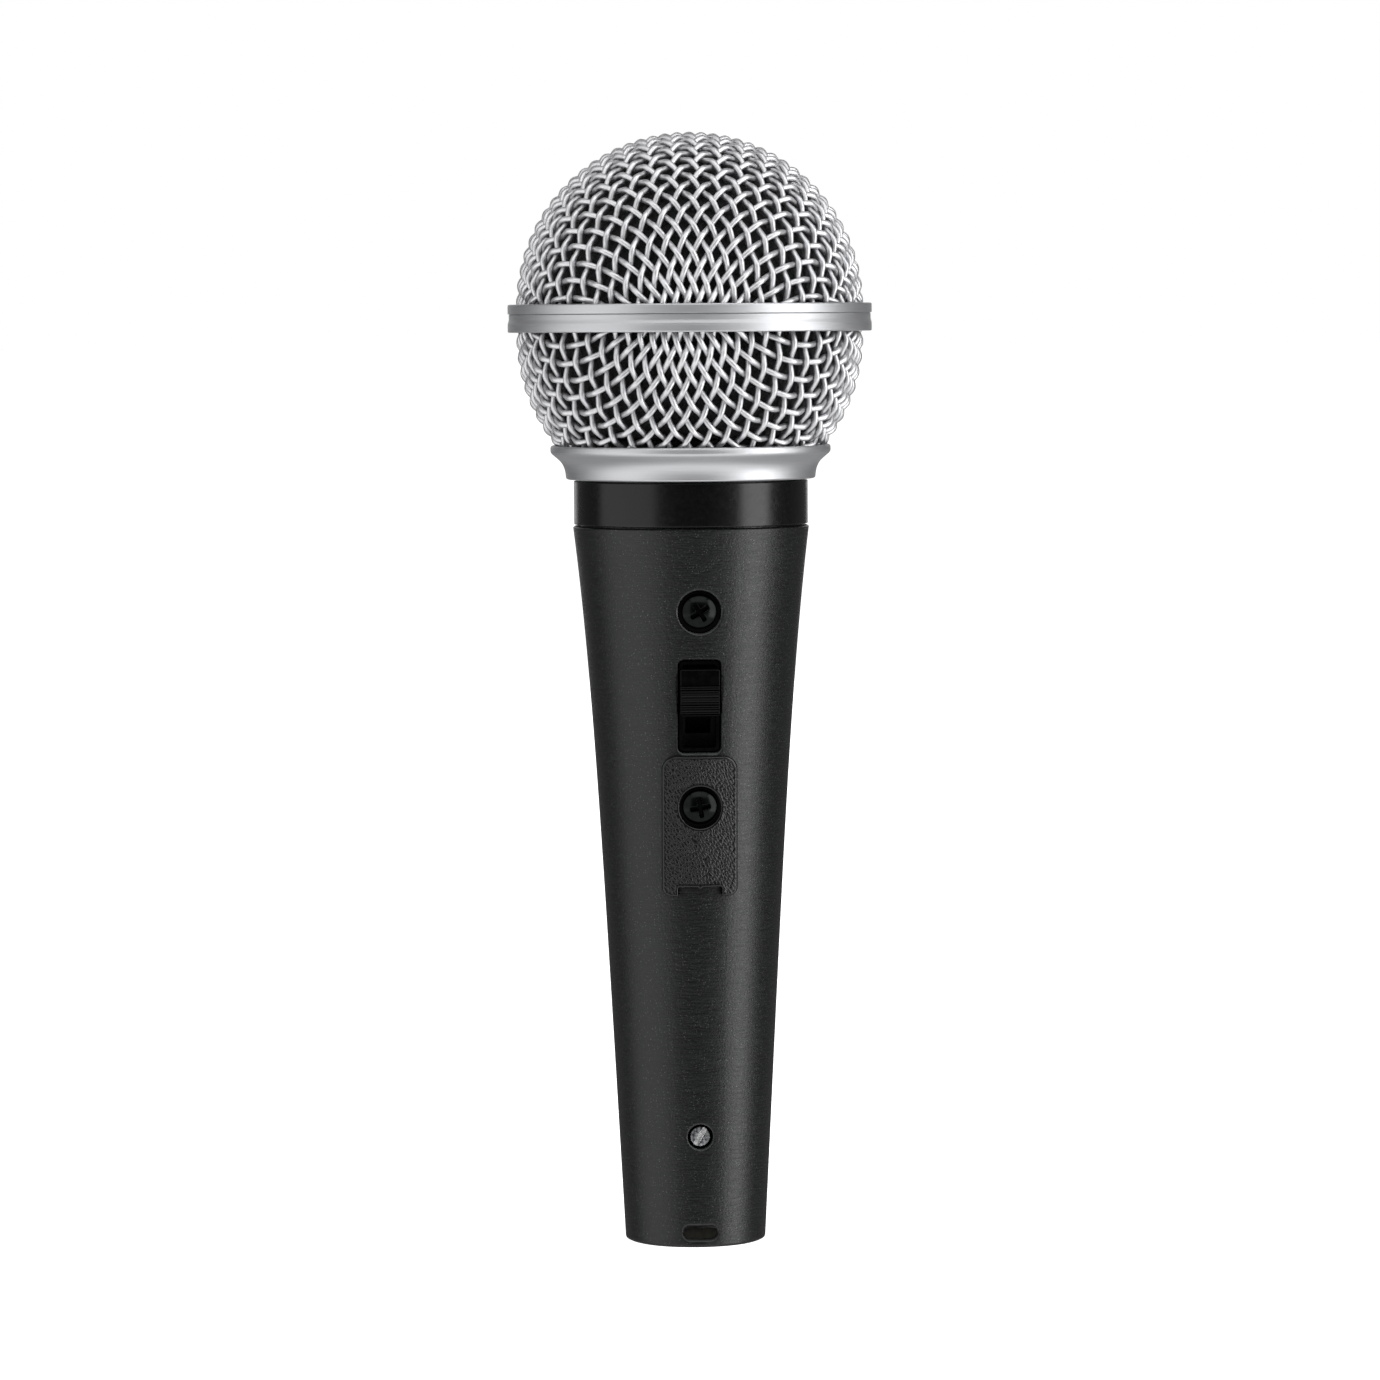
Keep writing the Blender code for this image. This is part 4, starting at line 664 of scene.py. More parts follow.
def band_profile():
    """A ridge, a fine groove, a shallow recess that swells out again, and a lower ridge."""
    swell = np.linspace(0, 1, 9)
    recess = np.stack([BAND_RADIUS - BAND_RECESS * (1 - swell ** 2 * (3 - 2 * swell)),
                       BAND_TOP - BAND_LEDGE + 0.75 - swell * 0.95], axis=1)
    upper = rounded([(BAND_INNER, BAND_TOP), (BAND_RADIUS, BAND_TOP),
                     (BAND_RADIUS, BAND_TOP - BAND_GROOVE + 0.02)], [0.05, 0.3, 0.06])
    lower = rounded([(BAND_RADIUS, BAND_TOP - BAND_LEDGE - 0.3), (BAND_RADIUS, BAND_FOOT),
                     (BAND_INNER, BAND_FOOT)], [0.05, 0.3, 0.05])
    groove = [(BAND_RADIUS - 0.34, BAND_TOP - BAND_GROOVE - 0.03), (BAND_RADIUS - BAND_RECESS,
                                                                    BAND_TOP - BAND_GROOVE - 0.14)]
    return finely(np.concatenate([upper, groove, recess, lower]), 0.25)


piece("band_rolled", *turned(band_profile(), 256), NICKEL, "grille", ["grille_band"], "satin_nickel")

# %% [markdown]
# ## The woven ball
# The grille is plain-weave wire cloth, over one and under one, pressed over a round former. The
# cloth's wires can't stretch, so its square meshes turn into rhombs of the same side: this is a
# Chebyshev net. On a sphere the net grows by one rule. Three corners of a mesh are known, and the
# fourth is the mirror image of the first in the plane through the other two and the centre. Each
# wire then passes through its crossings, a little outside one and a little inside the next.

# %% The wire net on a sphere
WIRE_RADIUS = 0.5
PITCH = 2.92
CROSSINGS, SPAN_STEPS = 19, 8  # crossings from pole to edge, and points from one to the next
UPPER_CENTRE, LOWER_CENTRE = 161.0, 155.7
MESH_RADIUS = box_mm("grille_dome_mesh")[1][0]


def sphere_net(radius, pitch, count):
    """Unit vectors of the crossings (i, j) for i, j from 0 to count, from the pole outwards.

    The two starting wires are great circles. Each diagonal of crossings follows from the two
    before it: n(i+1, j+1) is n(i, j) mirrored in the plane of n(i+1, j), n(i, j+1) and the centre.
    """
    net = np.zeros((count + 1, count + 1, 3))
    turn = 2 * math.asin(pitch / (2 * radius))
    arc = turn * np.arange(count + 1)
    net[:, 0] = np.stack([np.sin(arc), 0 * arc, np.cos(arc)], axis=1)
    net[0, :] = np.stack([0 * arc, np.sin(arc), np.cos(arc)], axis=1)
    for total in range(2, 2 * count + 1):
        i = np.arange(max(1, total - count), min(total - 1, count) + 1)
        j = total - i
        normal = np.cross(net[i, j - 1], net[i - 1, j])
        normal /= np.linalg.norm(normal, axis=1)[:, None]
        corner = net[i - 1, j - 1]
        net[i, j] = corner - 2 * (corner * normal).sum(axis=1)[:, None] * normal
    return net


def full_net(radius, pitch, count):
    """The net for i, j from -count to count: the first quarter turned through the other three."""
    quarter = sphere_net(radius, pitch, count)
    size = 2 * count + 1
    net = np.zeros((size, size, 3))
    index = np.arange(count + 1)
    i, j = np.meshgrid(index, index, indexing="ij")
    x, y, z = quarter[..., 0], quarter[..., 1], quarter[..., 2]
    for sign_i, sign_j in ((1, 1), (-1, 1), (-1, -1), (1, -1)):
        net[count + sign_i * i, count + sign_j * j] = np.stack([sign_i * x, sign_j * y, z], axis=-1)
    return net


# %% [markdown]
# A wire's path is a smooth curve through its crossings. Its cross-section is carried along the
# path as a circle that stands square to it, with one side always facing out of the ball, so the
# tube never twists. Whole families of wires are worked out as one array.


# %% Wires as tubes
CAP = np.array([[0, 1, 2, 7], [7, 2, 3, 6], [6, 3, 4, 5]])


def tube(path, radius):
    """An eight-sided tube along a path over a ball: rows along it, columns round it, and two caps.

    Each ring of points is centre + radius * (out cos(a) + across sin(a)). Out is the direction from
    the ball's centre made square to the path, and across is square to both.
    """
    along = np.gradient(path, axis=0)
    along /= np.linalg.norm(along, axis=1)[:, None]
    out = path / np.linalg.norm(path, axis=1)[:, None]
    out -= (out * along).sum(axis=1)[:, None] * along
    out /= np.linalg.norm(out, axis=1)[:, None]
    across = np.cross(along, out)
    angle = np.arange(8) * math.pi / 4
    ring = out[:, None] * np.cos(angle)[:, None] + across[:, None] * np.sin(angle)[:, None]
    points = (path[:, None] + radius * ring).reshape(-1, 3)
    last = len(points) - len(angle)
    return points, np.concatenate([grid_faces(len(path), len(angle)), CAP, CAP[:, ::-1] + last])


def wire_bowl(name, family, centre_z, way, turn, highest=math.inf, node=None):
    """One family of wires of a bowl: way is 1 for the dome, -1 for the lower bowl, hung upside down.

    A crossing's distance from the centre is the mean radius plus or minus a wire's radius, by turns
    along the wire and the other way round on the next wire. Each wire is cut off where the band or
    the collar hides it.
    """
    centre_radius = MESH_RADIUS - 2 * WIRE_RADIUS
    net = full_net(centre_radius, PITCH, CROSSINGS)
    i, j = np.indices(net.shape[:2])
    over = np.where((i + j + family) % 2 == 0, 1.0, -1.0)
    knots = net * (centre_radius + 0.98 * WIRE_RADIUS * over)[..., None]
    if family == 1:
        knots = knots.transpose(1, 0, 2)
    tubes = []
    for path in smooth_path(knots, SPAN_STEPS):
        shown = (path[:, 2] > -0.06 * MESH_RADIUS) & (path[:, 2] < highest)
        ends = np.flatnonzero(np.diff(np.concatenate([[0], shown, [0]]))).reshape(-1, 2)
        tubes += [tube(path[first:last], WIRE_RADIUS) for first, last in ends if last - first > 6]
    points, faces = joined(*tubes)
    c, s = math.cos(math.radians(45 + turn)), math.sin(math.radians(45 + turn))
    x, y, z = points.T
    points = np.stack([c * x - s * y, s * x + c * y, centre_z + way * z], axis=1)
    piece(name, points, faces[:, ::way], WIRE, "grille", [node] if node else (), "nickel_wire", sharp=180)


UPPER_TURN, LOWER_TURN = -3.0, -6.5
COLLAR_SEAT = LOWER_CENTRE - COLLAR_TOP + 0.35
wire_bowl("dome_warp_wires", 0, UPPER_CENTRE, 1, UPPER_TURN, node="grille_dome_mesh")
wire_bowl("dome_weft_wires", 1, UPPER_CENTRE, 1, UPPER_TURN)
wire_bowl("lower_warp_wires", 0, LOWER_CENTRE, -1, LOWER_TURN, COLLAR_SEAT, "grille_lower_mesh")
wire_bowl("lower_weft_wires", 1, LOWER_CENTRE, -1, LOWER_TURN, COLLAR_SEAT)

# %% [markdown]
# ## The foam windscreen
# A thin liner of open-cell foam sits just inside the wire and takes the pop out of close speech.
# It is cut and glued from sheet, so it is never quite true: slow waves a few tenths deep.

# %% Foam
FOAM_GAP, FOAM_DEPTH = 2.15, 6.0


def on_arc(radius, centre_z, angles):
    """Profile points (r, z) of an arc about a point of the axis, at angles up from level."""
    return np.stack([radius * np.cos(angles), centre_z + radius * np.sin(angles)], axis=1)


def foam_liner():
    """A shell between two rounded profiles, its radius waved by low sines of angle and height."""
    outer, inner = MESH_RADIUS - FOAM_GAP, MESH_RADIUS - FOAM_DEPTH
    foot = box_mm("foam_windscreen")[0][2] + 0.05
    top = np.radians(np.linspace(90, 0, 30))
    low = np.linspace(0, math.asin((foot - LOWER_CENTRE) / outer), 18)
    low_in = np.linspace(math.asin((foot - LOWER_CENTRE) / inner), 0, 18)
    outside = np.concatenate([on_arc(outer, UPPER_CENTRE, top), on_arc(outer, LOWER_CENTRE, low)])
    inside = np.concatenate([on_arc(inner, LOWER_CENTRE, low_in), on_arc(inner, UPPER_CENTRE, top[::-1])])
    points, faces = turned(np.concatenate([outside, inside]), 128, closed=False)
    angle = np.arctan2(points[:, 0], -points[:, 1])
    wave = 0.12 * np.sin(3 * angle + points[:, 2] / 4) + 0.08 * np.sin(7 * angle - points[:, 2] / 2.5)
    flat = np.clip(np.hypot(points[:, 0], points[:, 1]) / 6, 0, 1)
    points[:, :2] *= (1 - 0.004 * np.abs(wave) * flat * 6)[:, None]
    return points, faces


foam = piece("foam_liner", *foam_liner(), OPEN_FOAM, "windscreen", ["foam_windscreen"], "foam", sharp=60)

# %% [markdown]
# ## The lock plate
# A small grained plate hugs the handle below the switch. It is a cut sheet: a rounded outline with
# a notch at one end, a counterbore for its screw, and a smooth bevel all round.

# %% Lock plate
PLATE_TOP, PLATE_BOTTOM = 84.84, 60.91
PLATE_HALF_WIDTH = box_mm("lock_plate")[1][0]
PLATE_LIFT, PLATE_THICK = 0.3, 0.9
PLATE_BORE, PLATE_STEP = 3.55, 0.095
GRAIN_SLANT, GRAIN_LENGTH, GRAIN_WIDTH, GRAIN_DEPTH = -57, 0.87, 0.48, 0.17


def plate_distance(x, u):
    """How far inside the plate's outline: a rounded block, less its notch and its counterbore."""
    top, bottom = front_up(PLATE_TOP), front_up(PLATE_BOTTOM)
    middle, half = (top + bottom) / 2, (top - bottom) / 2
    corner = np.where(u > middle, 2.4, 1.4)
    block = -box_distance(x, u - middle, PLATE_HALF_WIDTH, half, corner)
    notch = box_distance(x, u - bottom, 3.75, 1.6, 0.35)
    notch = np.maximum(notch, 0.45 - np.hypot(x, u - bottom - 1.75))
    bore = np.hypot(x, u - front_up(LOCK_SCREW_Z)) - PLATE_BORE
    return np.minimum.reduce([block, notch, bore])


def pebbles(x, u):
    """Height from 0 to 1 of a leather grain: long pebbles on a slant, with valleys between them.

    One point is scattered in each cell of a slanted grid. The height at a place grows with the gap
    between its distances to the nearest and the second nearest of those points.
    """
    c, s = math.cos(math.radians(GRAIN_SLANT)), math.sin(math.radians(GRAIN_SLANT))
    p, q = (c * x + s * u) / GRAIN_LENGTH, (c * u - s * x) / GRAIN_WIDTH
    nearest, second = np.full(p.shape, 9.0), np.full(p.shape, 9.0)
    for i in (-1, 0, 1):
        for j in (-1, 0, 1):
            a, b = np.floor(p) + i, np.floor(q) + j
            jump_p = np.sin(a * 127.1 + b * 311.7) * 43758.5 % 1.0
            jump_q = np.sin(a * 269.5 + b * 183.3) * 43758.5 % 1.0
            gap = np.hypot(p - a - jump_p, q - b - jump_q)
            second = np.minimum(second, np.maximum(nearest, gap))
            nearest = np.minimum(nearest, gap)
    rise = np.clip((second - nearest) / 0.45, 0, 1)
    return rise * (2 - rise)


def lock_plate():
    """The plate's skin over the handle, with a bevel, and a boss cup for its screw."""
    x = np.arange(-PLATE_HALF_WIDTH - 0.3, PLATE_HALF_WIDTH + 0.31, PLATE_STEP)
    u = np.arange(front_up(PLATE_TOP) + 0.3, front_up(PLATE_BOTTOM) - 0.31, -PLATE_STEP)
    grid_u, grid_x = np.meshgrid(u, x, indexing="ij")

    def top(xx, uu, d):
        relief = GRAIN_DEPTH * (pebbles(xx, uu) - 1) * np.clip((d - 0.4) / 0.3, 0, 1)
        return on_surface(xx, uu, PLATE_LIFT + PLATE_THICK + relief - 0.8 * roll(d, 0.4))

    def under(xx, uu, d):
        return on_surface(xx, uu, PLATE_LIFT + 0 * xx)

    skin = cut_sheet(grid_x, grid_u, plate_distance, top, under)
    cup = turned(rounded([(PLATE_BORE, 0.75), (4.1, 0.6), (4.1, -0.7), (SCREW_HOLE, -0.7),
                          (SCREW_HOLE, -0.1), (PLATE_BORE, -0.1)], 0.05), 64)
    return joined(skin, on_front(cup, LOCK_SCREW_Z))


plate = piece("lock_plate_moulding", *lock_plate(), GRAINED, "lock_plate", ["lock_plate"],
              "grained_plate", sharp=50)


def on_pebbles(x, y, z):
    """How high on a pebble each point is, for the finish: 1 on the smooth border."""
    u = -(y + FRONT_RADIUS) * SIN_T + (z - FRONT_Z) * COS_T
    inside = np.clip((plate_distance(x, u) - 0.4) / 0.3, 0, 1)
    return 1 - inside * (1 - pebbles(x, u))


# The plate's finish reads this for its roughness and for the painted shade in its valleys.
mark(plate, "pebble", on_pebbles(*points_of(plate)))

# %% [markdown]
# ## The switch button and the screws
# The button is a moulded block with six finger ribs on its lower part. The screws are pan heads
# with a cross recess: a domed disc whose distance function leaves out a cross. Each sits on a thin
# black washer, which is painted shade on its counterbore's floor. The connector's screw is small,
# with a straight slot.

# %% Switch button
BUTTON_HALF_WIDTH, BUTTON_HALF_HEIGHT, BUTTON_Z = 3.35, 4.0, 95.73
BUTTON_TOP, BUTTON_BACK = 1.25, -0.55
RIB_PITCH, RIB_COUNT, RIB_DEPTH = 0.83, 6, 0.28


def button_block(half_x, half_u, corner, top, back, edge, ribs, spacing):
    """A block of the front frame with rounded edges; ribs cut its lower part with round valleys."""
    x = np.arange(-half_x - spacing, half_x + 1.01 * spacing, spacing)
    u = np.arange(half_u + spacing, -half_u - 1.01 * spacing, -spacing)
    grid_u, grid_x = np.meshgrid(u, x, indexing="ij")

    def distance(xx, uu):
        return -box_distance(xx, uu, half_x, half_u, corner)

    def face(xx, uu, d):
        place = (uu + half_u - 0.25) / RIB_PITCH
        ribbed = (place > 0) & (place < RIB_COUNT)
        valley = np.where(ribbed, np.abs(np.sin(math.pi * place)) ** 0.7, 1.0)
        drop = ribs * (1 - valley) + roll(d, edge)
        return front(xx, uu + front_up(BUTTON_Z), top - drop)

    return cut_sheet(grid_x, grid_u, distance, face,
                     lambda xx, uu, d: front(xx, uu + front_up(BUTTON_Z), back + 0 * xx))


button = button_block(BUTTON_HALF_WIDTH, BUTTON_HALF_HEIGHT, 0.35, BUTTON_TOP, BUTTON_BACK, 0.16,
                      RIB_DEPTH, 0.1)
stem = button_block(1.8, 2.3, 0.2, BUTTON_BACK + 0.2, -7.9, 0.1, 0.0, 0.2)
piece("switch_button_moulding", *joined(button, stem), NYLON, "button", ["switch_button"], "black_nylon",
      sharp=50)

# %% Screws
HEAD_RADIUS, HEAD_HEIGHT, HEAD_RIM = 3.02, 1.5, 0.35
BALL = (HEAD_RADIUS ** 2 + (HEAD_HEIGHT - HEAD_RIM) ** 2) / (2 * (HEAD_HEIGHT - HEAD_RIM))
SHANK_RADIUS, SHANK_LENGTH = 1.25, 5.6
CROSS_HALF_SPAN, CROSS_HALF_WIDTH, CROSS_FILLET = 1.68, 0.35, 0.25


def cross_head(turn):
    """Pan head: a cap of a ball over a disc, less a cross whose inner corners are filled in."""
    c, s = math.cos(math.radians(turn)), math.sin(math.radians(turn))

    def distance(x, y):
        p, q = np.abs(c * x + s * y), np.abs(-s * x + c * y)
        one = box_distance(p, q, CROSS_HALF_SPAN, CROSS_HALF_WIDTH, 0.22)
        other = box_distance(p, q, CROSS_HALF_WIDTH, CROSS_HALF_SPAN, 0.22)
        share = np.clip(0.5 + 0.5 * (other - one) / CROSS_FILLET, 0, 1)
        bars = other + (one - other) * share - CROSS_FILLET * share * (1 - share)
        return np.minimum(HEAD_RADIUS - np.hypot(x, y), bars)

    def dome(x, y, d):
        rise = HEAD_HEIGHT - BALL + np.sqrt(BALL ** 2 - np.minimum(np.hypot(x, y), HEAD_RADIUS) ** 2)
        z = rise - roll(d, 0.16)
        return np.stack([x, y, z], axis=-1)

    def well(x, y, d):
        reach = np.hypot(x, y)
        inward = np.where(reach < 0.9 * HEAD_RADIUS, 0.82, 1.0)
        return np.stack([x * inward, y * inward, np.where(reach < 0.9 * HEAD_RADIUS, -0.2, 0.0)], axis=-1)

    head = cut_sheet(*disc_grid(HEAD_RADIUS), distance, dome, well)
    shank, faces = turned([(0.0, -0.15), (2.4, -0.15), (2.4, -0.02), (SHANK_RADIUS, -0.3),
                           (SHANK_RADIUS, -SHANK_LENGTH), (0.0, -SHANK_LENGTH)], 32, closed=False)
    return joined(head, (shank, faces[:, ::-1]))


def put_screw(name, screw_z, seat, turn, body, node):
    points, faces = cross_head(turn)
    points = to_front(points + np.array([0, front_up(screw_z), seat]))
    piece(name, points, faces, OXIDE, body, [node], "black_screw", sharp=35)


put_screw("upper_pan_screw", UPPER_SCREW_Z, -0.98, 33, "body", "handle_screw")
put_screw("lock_pan_screw", LOCK_SCREW_Z, 0.12, 10, "lock_screw", "lock_screw")


def shade_washer(name, screw_z, floor, outer, body):
    """A black washer under a screw head, painted shade on the counterbore's floor: a flat ring with
    rounded edges, turned about the screw.
    """
    ring = turned(rounded([(SCREW_HOLE, floor + 0.2), (outer, floor + 0.2), (outer, floor + 0.04),
                           (SCREW_HOLE, floor + 0.04)], 0.05), 64)
    piece(name, *on_front(ring, screw_z), NYLON, body, slot="black_screw")


# Black rings painted in as the shade under each head.
shade_washer("upper_screw_shade_washer", UPPER_SCREW_Z, -1.2, 3.66, "body")
shade_washer("lock_screw_shade_washer", LOCK_SCREW_Z, -0.1, 3.42, "lock_screw")


SLOT_TURN, SLOT_HALF_WIDTH = math.radians(58), 0.36


def slot_gap(x, y):
    """How far a point of the screw's face is outside its slot."""
    return np.abs(math.cos(SLOT_TURN) * y - math.sin(SLOT_TURN) * x) - SLOT_HALF_WIDTH


def slotted_screw():
    """The connector's screw: a disc less a straight slot, on a plain shank, facing -Y."""
    radius, depth = 1.7, 0.3
    low, high = box_mm("connector_screw")

    def distance(x, y):
        return np.minimum(radius - np.hypot(x, y), slot_gap(x, y))

    def face(x, y, d):
        return np.stack([x, y, -roll(d, 0.12) - 0.02 * np.hypot(x, y) ** 2], axis=-1)

    def under(x, y, d):
        return np.stack([x, y, -depth + 0 * x], axis=-1)

    head = cut_sheet(*disc_grid(radius), distance, face, under)
    length = high[1] - low[1]
    shank, faces = turned([(0, -depth + 0.01), (radius - 0.02, -depth + 0.01), (radius - 0.02, -length),
                           (0, -length)], 48, closed=False)
    points, faces = joined(head, (shank, faces[:, ::-1]))
    x, y, z = points.T
    return np.stack([x, low[1] - z, y + INSERT_SCREW_Z], axis=1), faces


socket_screw = piece("connector_slot_screw", *slotted_screw(), BRIGHT, "body", ["connector_screw"],
                     "screw_steel", sharp=35)
place_x, _, place_z = points_of(socket_screw)
# The slot's points get the painted highlight.
mark(socket_screw, "slot_highlight", np.where(slot_gap(place_x, place_z - INSERT_SCREW_Z) < 0.02, 1.0, 0.0))

# %% [markdown]
# ## Pieces that keep their CAD shape
# Inside the handle and the cartridge, the CAD solids already have the right form. They keep it and
# get the finish of what they are made of, except the switch's bracket and body: they are painted
# near black as the shade inside the switch opening.


# %% Finishes for the inner pieces
def plain(name, colour, other, roughness, size, metallic=0.0, bump=0.003, stretch=(1, 1, 1), **sockets):
    """A clouded finish in two tones, its roughness a little to each side of one value."""
    return clouded(name, colour, size, (colour, other), (roughness - 0.06, roughness + 0.08), metallic,
                   bump, stretch, **sockets)


# Each row: the name, two tones, roughness, grain size in mm, metallic, bump in mm, stretch.
INNER_FINISHES = {
    "rubber": ("moulded_black_rubber", "#151515", "#1d1d1d", 0.75, 0.6, 0.0, 0.01),  # dead matt
    "grey_moulding": ("grey_abs_moulding", "#4c4f51", "#5a5d5f", 0.5, 0.5, 0.0, 0.006),  # eggshell
    "soft_iron": ("turned_soft_iron", "#83868a", "#9a9da0", 0.35, 0.5, 1.0, 0.003,
                  (0.2, 0.2, 5)),  # fine rings
    "magnet": ("sintered_magnet", "#55585c", "#6b6e72", 0.45, 0.3, 0.8),  # dark grains
    "copper_winding": ("enamelled_copper_winding", "#9c5a25", "#c07838", 0.35, 0.12, 0.9, 0.01,
                       (0.05, 0.05, 1)),  # lines of wire
    "polyester_film": ("formed_polyester_film", "#c4b585", "#d3c594", 0.22, 1.5),  # a thin gloss
    "felt": ("pressed_felt", "#34363a", "#46494d", 0.95, 0.3, 0.0, 0.05),  # short nap
    "phenolic_board": ("phenolic_paper_board", "#4f321d", "#664328", 0.5, 0.4),  # brown fibres
    "tinned_brass": ("tinned_brass", "#bdb8a8", "#d2cdbd", 0.28, 0.5, 1.0),  # warm bright metal
    "black_insert": ("glass_filled_black_nylon", "#0e0f10", "#191a1b", 0.5, 0.35, 0.0, 0.006),  # specks
    "bobbin_nylon": ("taped_bobbin", "#cfc8b2", "#ddd7c4", 0.5, 0.8),  # pale and even
    "laminations": ("stacked_laminations", "#5f6265", "#7b7e81", 0.45, 0.35, 0.9, 0.01,
                    (1, 8, 1)),  # thin sheets
    **{f"lead_{colour}": (f"pvc_lead_{colour}", *tones, 0.4, 0.6) for colour, tones in (  # soft sheen
        ("red", ("#851b18", "#96221f")), ("green", ("#1a5430", "#206238")),
        ("black", ("#121212", "#1a1a1a")), ("yellow", ("#ae8f27", "#c09f31")))}}
FINISH_OF_SLOT = {slot: plain(*row) for slot, row in INNER_FINISHES.items()}
FINISH_OF_SLOT.update({
    "black_nylon": NYLON, "charcoal_enamel": ENAMEL, "satin_nickel": NICKEL, "nickel_wire": WIRE,
    "ring_lacquer": LACQUER, "grained_plate": GRAINED, "black_screw": OXIDE, "screw_steel": BRIGHT,
    "foam": OPEN_FOAM})
# Seen through the switch opening: painted near black as the shade inside it, so that only the button
# shows.
SHADE_PAINTED_NODES = {"switch_bracket": plain("shade_painted_switch_bracket", "#050505", "#080808", 0.6, 0.4,
                                        Specular_IOR_Level=0.15),
              "switch_body": plain("shade_painted_switch_body", "#040404", "#070707", 0.6, 0.4,
                                     Specular_IOR_Level=0.15)}
for part in frame["record"]["subparts"]:
    solid = frame["nodes"][part["node"]].data
    solid.materials.clear()
    solid.materials.append(SHADE_PAINTED_NODES.get(part["node"], FINISH_OF_SLOT[part["material_slot"]]))

# %% [markdown]
# ## The studio
# The light is two tall softboxes in front, one to each side, with a gap between them for the
# camera. That gap is the darker stripe down the middle of every bright piece. A third box hangs
# above, and two small ones behind give the back and the edges a little light. The room is dim in
# front and behind, brighter to the sides, and brightest from below, as white paper throws it up.
# The camera sees the paper pure white. The floor does not glow under the tail, so no light shows
# through the socket.

# %% Floor, light and world
floor_mesh = bpy.data.meshes.new("floor")
FLOOR_REACH, FLOOR_Z = 30, -0.02 * MM
floor_mesh.from_pydata([(x * FLOOR_REACH, y * FLOOR_REACH, FLOOR_Z) for x, y in (
    (-1, -1), (1, -1), (1, 1), (-1, 1))], [], [(0, 1, 2, 3)])
floor = bpy.data.objects.new("floor", floor_mesh)
bpy.context.scene.collection.objects.link(floor)
paper, paper_tree, paper_shader = material("matt_white_paper", "#f4f4f2", 0.9)
paper_shader.inputs["Specular IOR Level"].default_value = 0.0
paper_shader.inputs["Emission Color"].default_value = (1, 1, 1, 1)
spot = add(paper_tree, "TexCoord").outputs["Object"]
reach = add(paper_tree, "VectorMath", {0: spot}, operation="LENGTH").outputs["Value"]
glow = add(paper_tree, "MapRange", {"Value": reach, "From Min": 10 * MM, "From Max": 11 * MM,
                                    "To Min": 0.0, "To Max": 1.0}).outputs["Result"]
paper_tree.links.new(glow, paper_shader.inputs["Emission Strength"])
floor_mesh.materials.append(paper)
floor.visible_glossy = False
floor.visible_diffuse = False


def softbox(name, azimuth, elevation, distance, width, height, power, aim=(0, 0, 0.1)):
    """A rectangular lamp: azimuth 0 is in front (-Y), positive to the right, in degrees."""
    a, e = math.radians(azimuth), math.radians(elevation)
    target = Vector(aim)
    way = Vector((math.sin(a) * math.cos(e), -math.cos(a) * math.cos(e), math.sin(e)))
    lamp = bpy.data.lights.new(name, "AREA")
    lamp.shape = "RECTANGLE"
    lamp.size, lamp.size_y, lamp.energy = width, height, power
    holder = bpy.data.objects.new(name, lamp)
    holder.location = target + way * distance
    holder.rotation_euler = (-way).to_track_quat("-Z", "Y").to_euler()
    holder.visible_camera = False
    bpy.context.scene.collection.objects.link(holder)


softbox("left_softbox", -71, 6, 1.1, 1.4, 1.4, 6.6)
softbox("right_softbox", 62, 6, 1.1, 0.62, 1.4, 12.2)
softbox("top_softbox", 0, 58, 1.2, 1.5, 1.0, 8.5)
softbox("rear_left_softbox", -167, 20, 1.4, 0.6, 1.2, 1.8)
softbox("rear_right_softbox", 167, 20, 1.4, 0.6, 1.2, 1.8)

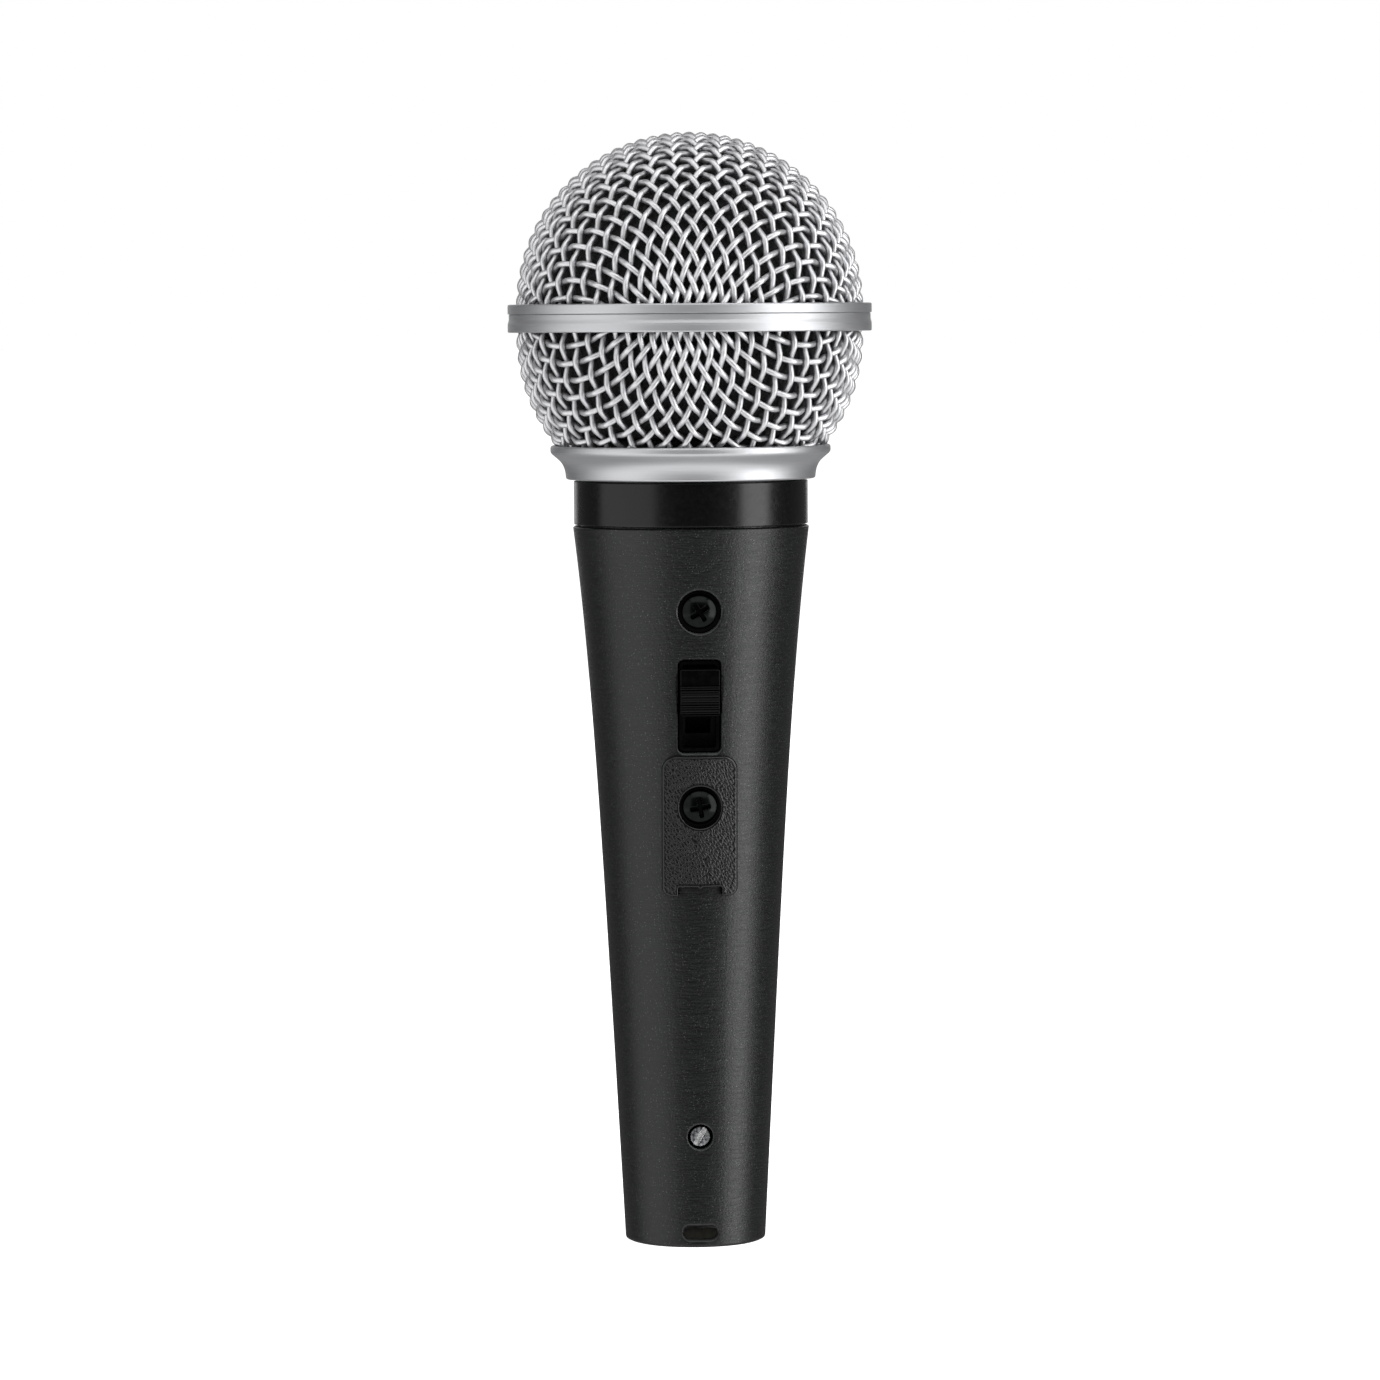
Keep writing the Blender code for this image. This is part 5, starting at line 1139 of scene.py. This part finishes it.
world = bpy.data.worlds.new("white_sweep")
bpy.context.scene.world = world
world.use_nodes = True
sky = world.node_tree
way = add(sky, "SeparateXYZ", {"Vector": add(sky, "TexCoord").outputs["Generated"]})
round_room = add(sky, "ValToRGB", {"Fac": add(sky, "MapRange", {
    "Value": way.outputs["Y"], "From Min": 1.0, "From Max": -1.0}).outputs["Result"]})
room = round_room.color_ramp.elements
room[0].position, room[0].color = 0.4, (0.12, 0.12, 0.12, 1)
room[1].position, room[1].color = 0.62, (0.4, 0.4, 0.4, 1)
for position, level in ((0.88, 0.4), (0.985, 0.12)):
    room.new(position).color = (level, level, level, 1)
below = add(sky, "MapRange", {"Value": way.outputs["Z"], "From Min": -0.15, "From Max": -0.45,
                              "To Min": 1.0, "To Max": 3.8}).outputs["Result"]
lit = add(sky, "Math", {0: round_room.outputs["Color"], 1: below}, operation="MULTIPLY").outputs["Value"]
seen = add(sky, "LightPath").outputs["Is Camera Ray"]
strength = add(sky, "Mix", {"Factor": seen, "A": lit, "B": 1.0}, data_type="FLOAT").outputs["Result"]
backdrop = sky.nodes["Background"]
backdrop.inputs["Color"].default_value = (1, 1, 1, 1)
sky.links.new(strength, backdrop.inputs["Strength"])
bpy.context.scene.view_settings.view_transform = "Standard"

# %% [markdown]
# ## The camera
# It stands about a metre away, level with the grille band, a few degrees round to the left of the
# switch, and looks slightly down at the middle of the handle.

# %% Camera
CAMERA_DISTANCE, CAMERA_HEIGHT = 0.981, 0.15894
CAMERA_TURN, CAMERA_PITCH, CAMERA_ROLL, CAMERA_YAW = 4.2, 3.731, 0.375, 0.021
lens = bpy.data.cameras.new("camera")
lens.lens = 148.83
lens.sensor_width = 36.0
lens.clip_end = 100.0
camera = bpy.data.objects.new("camera", lens)
turn = math.radians(CAMERA_TURN)
camera.location = (-CAMERA_DISTANCE * math.sin(turn), -CAMERA_DISTANCE * math.cos(turn), CAMERA_HEIGHT)
camera.rotation_mode = "XYZ"
facing = Matrix.Rotation(-turn + math.radians(CAMERA_YAW), 4, "Z") @ Matrix.Rotation(
    math.radians(90 - CAMERA_PITCH), 4, "X") @ Matrix.Rotation(math.radians(-CAMERA_ROLL), 4, "Z")
camera.rotation_euler = facing.to_euler()
bpy.context.scene.collection.objects.link(camera)
bpy.context.scene.camera = camera
print("lens", lens.lens, "mm")
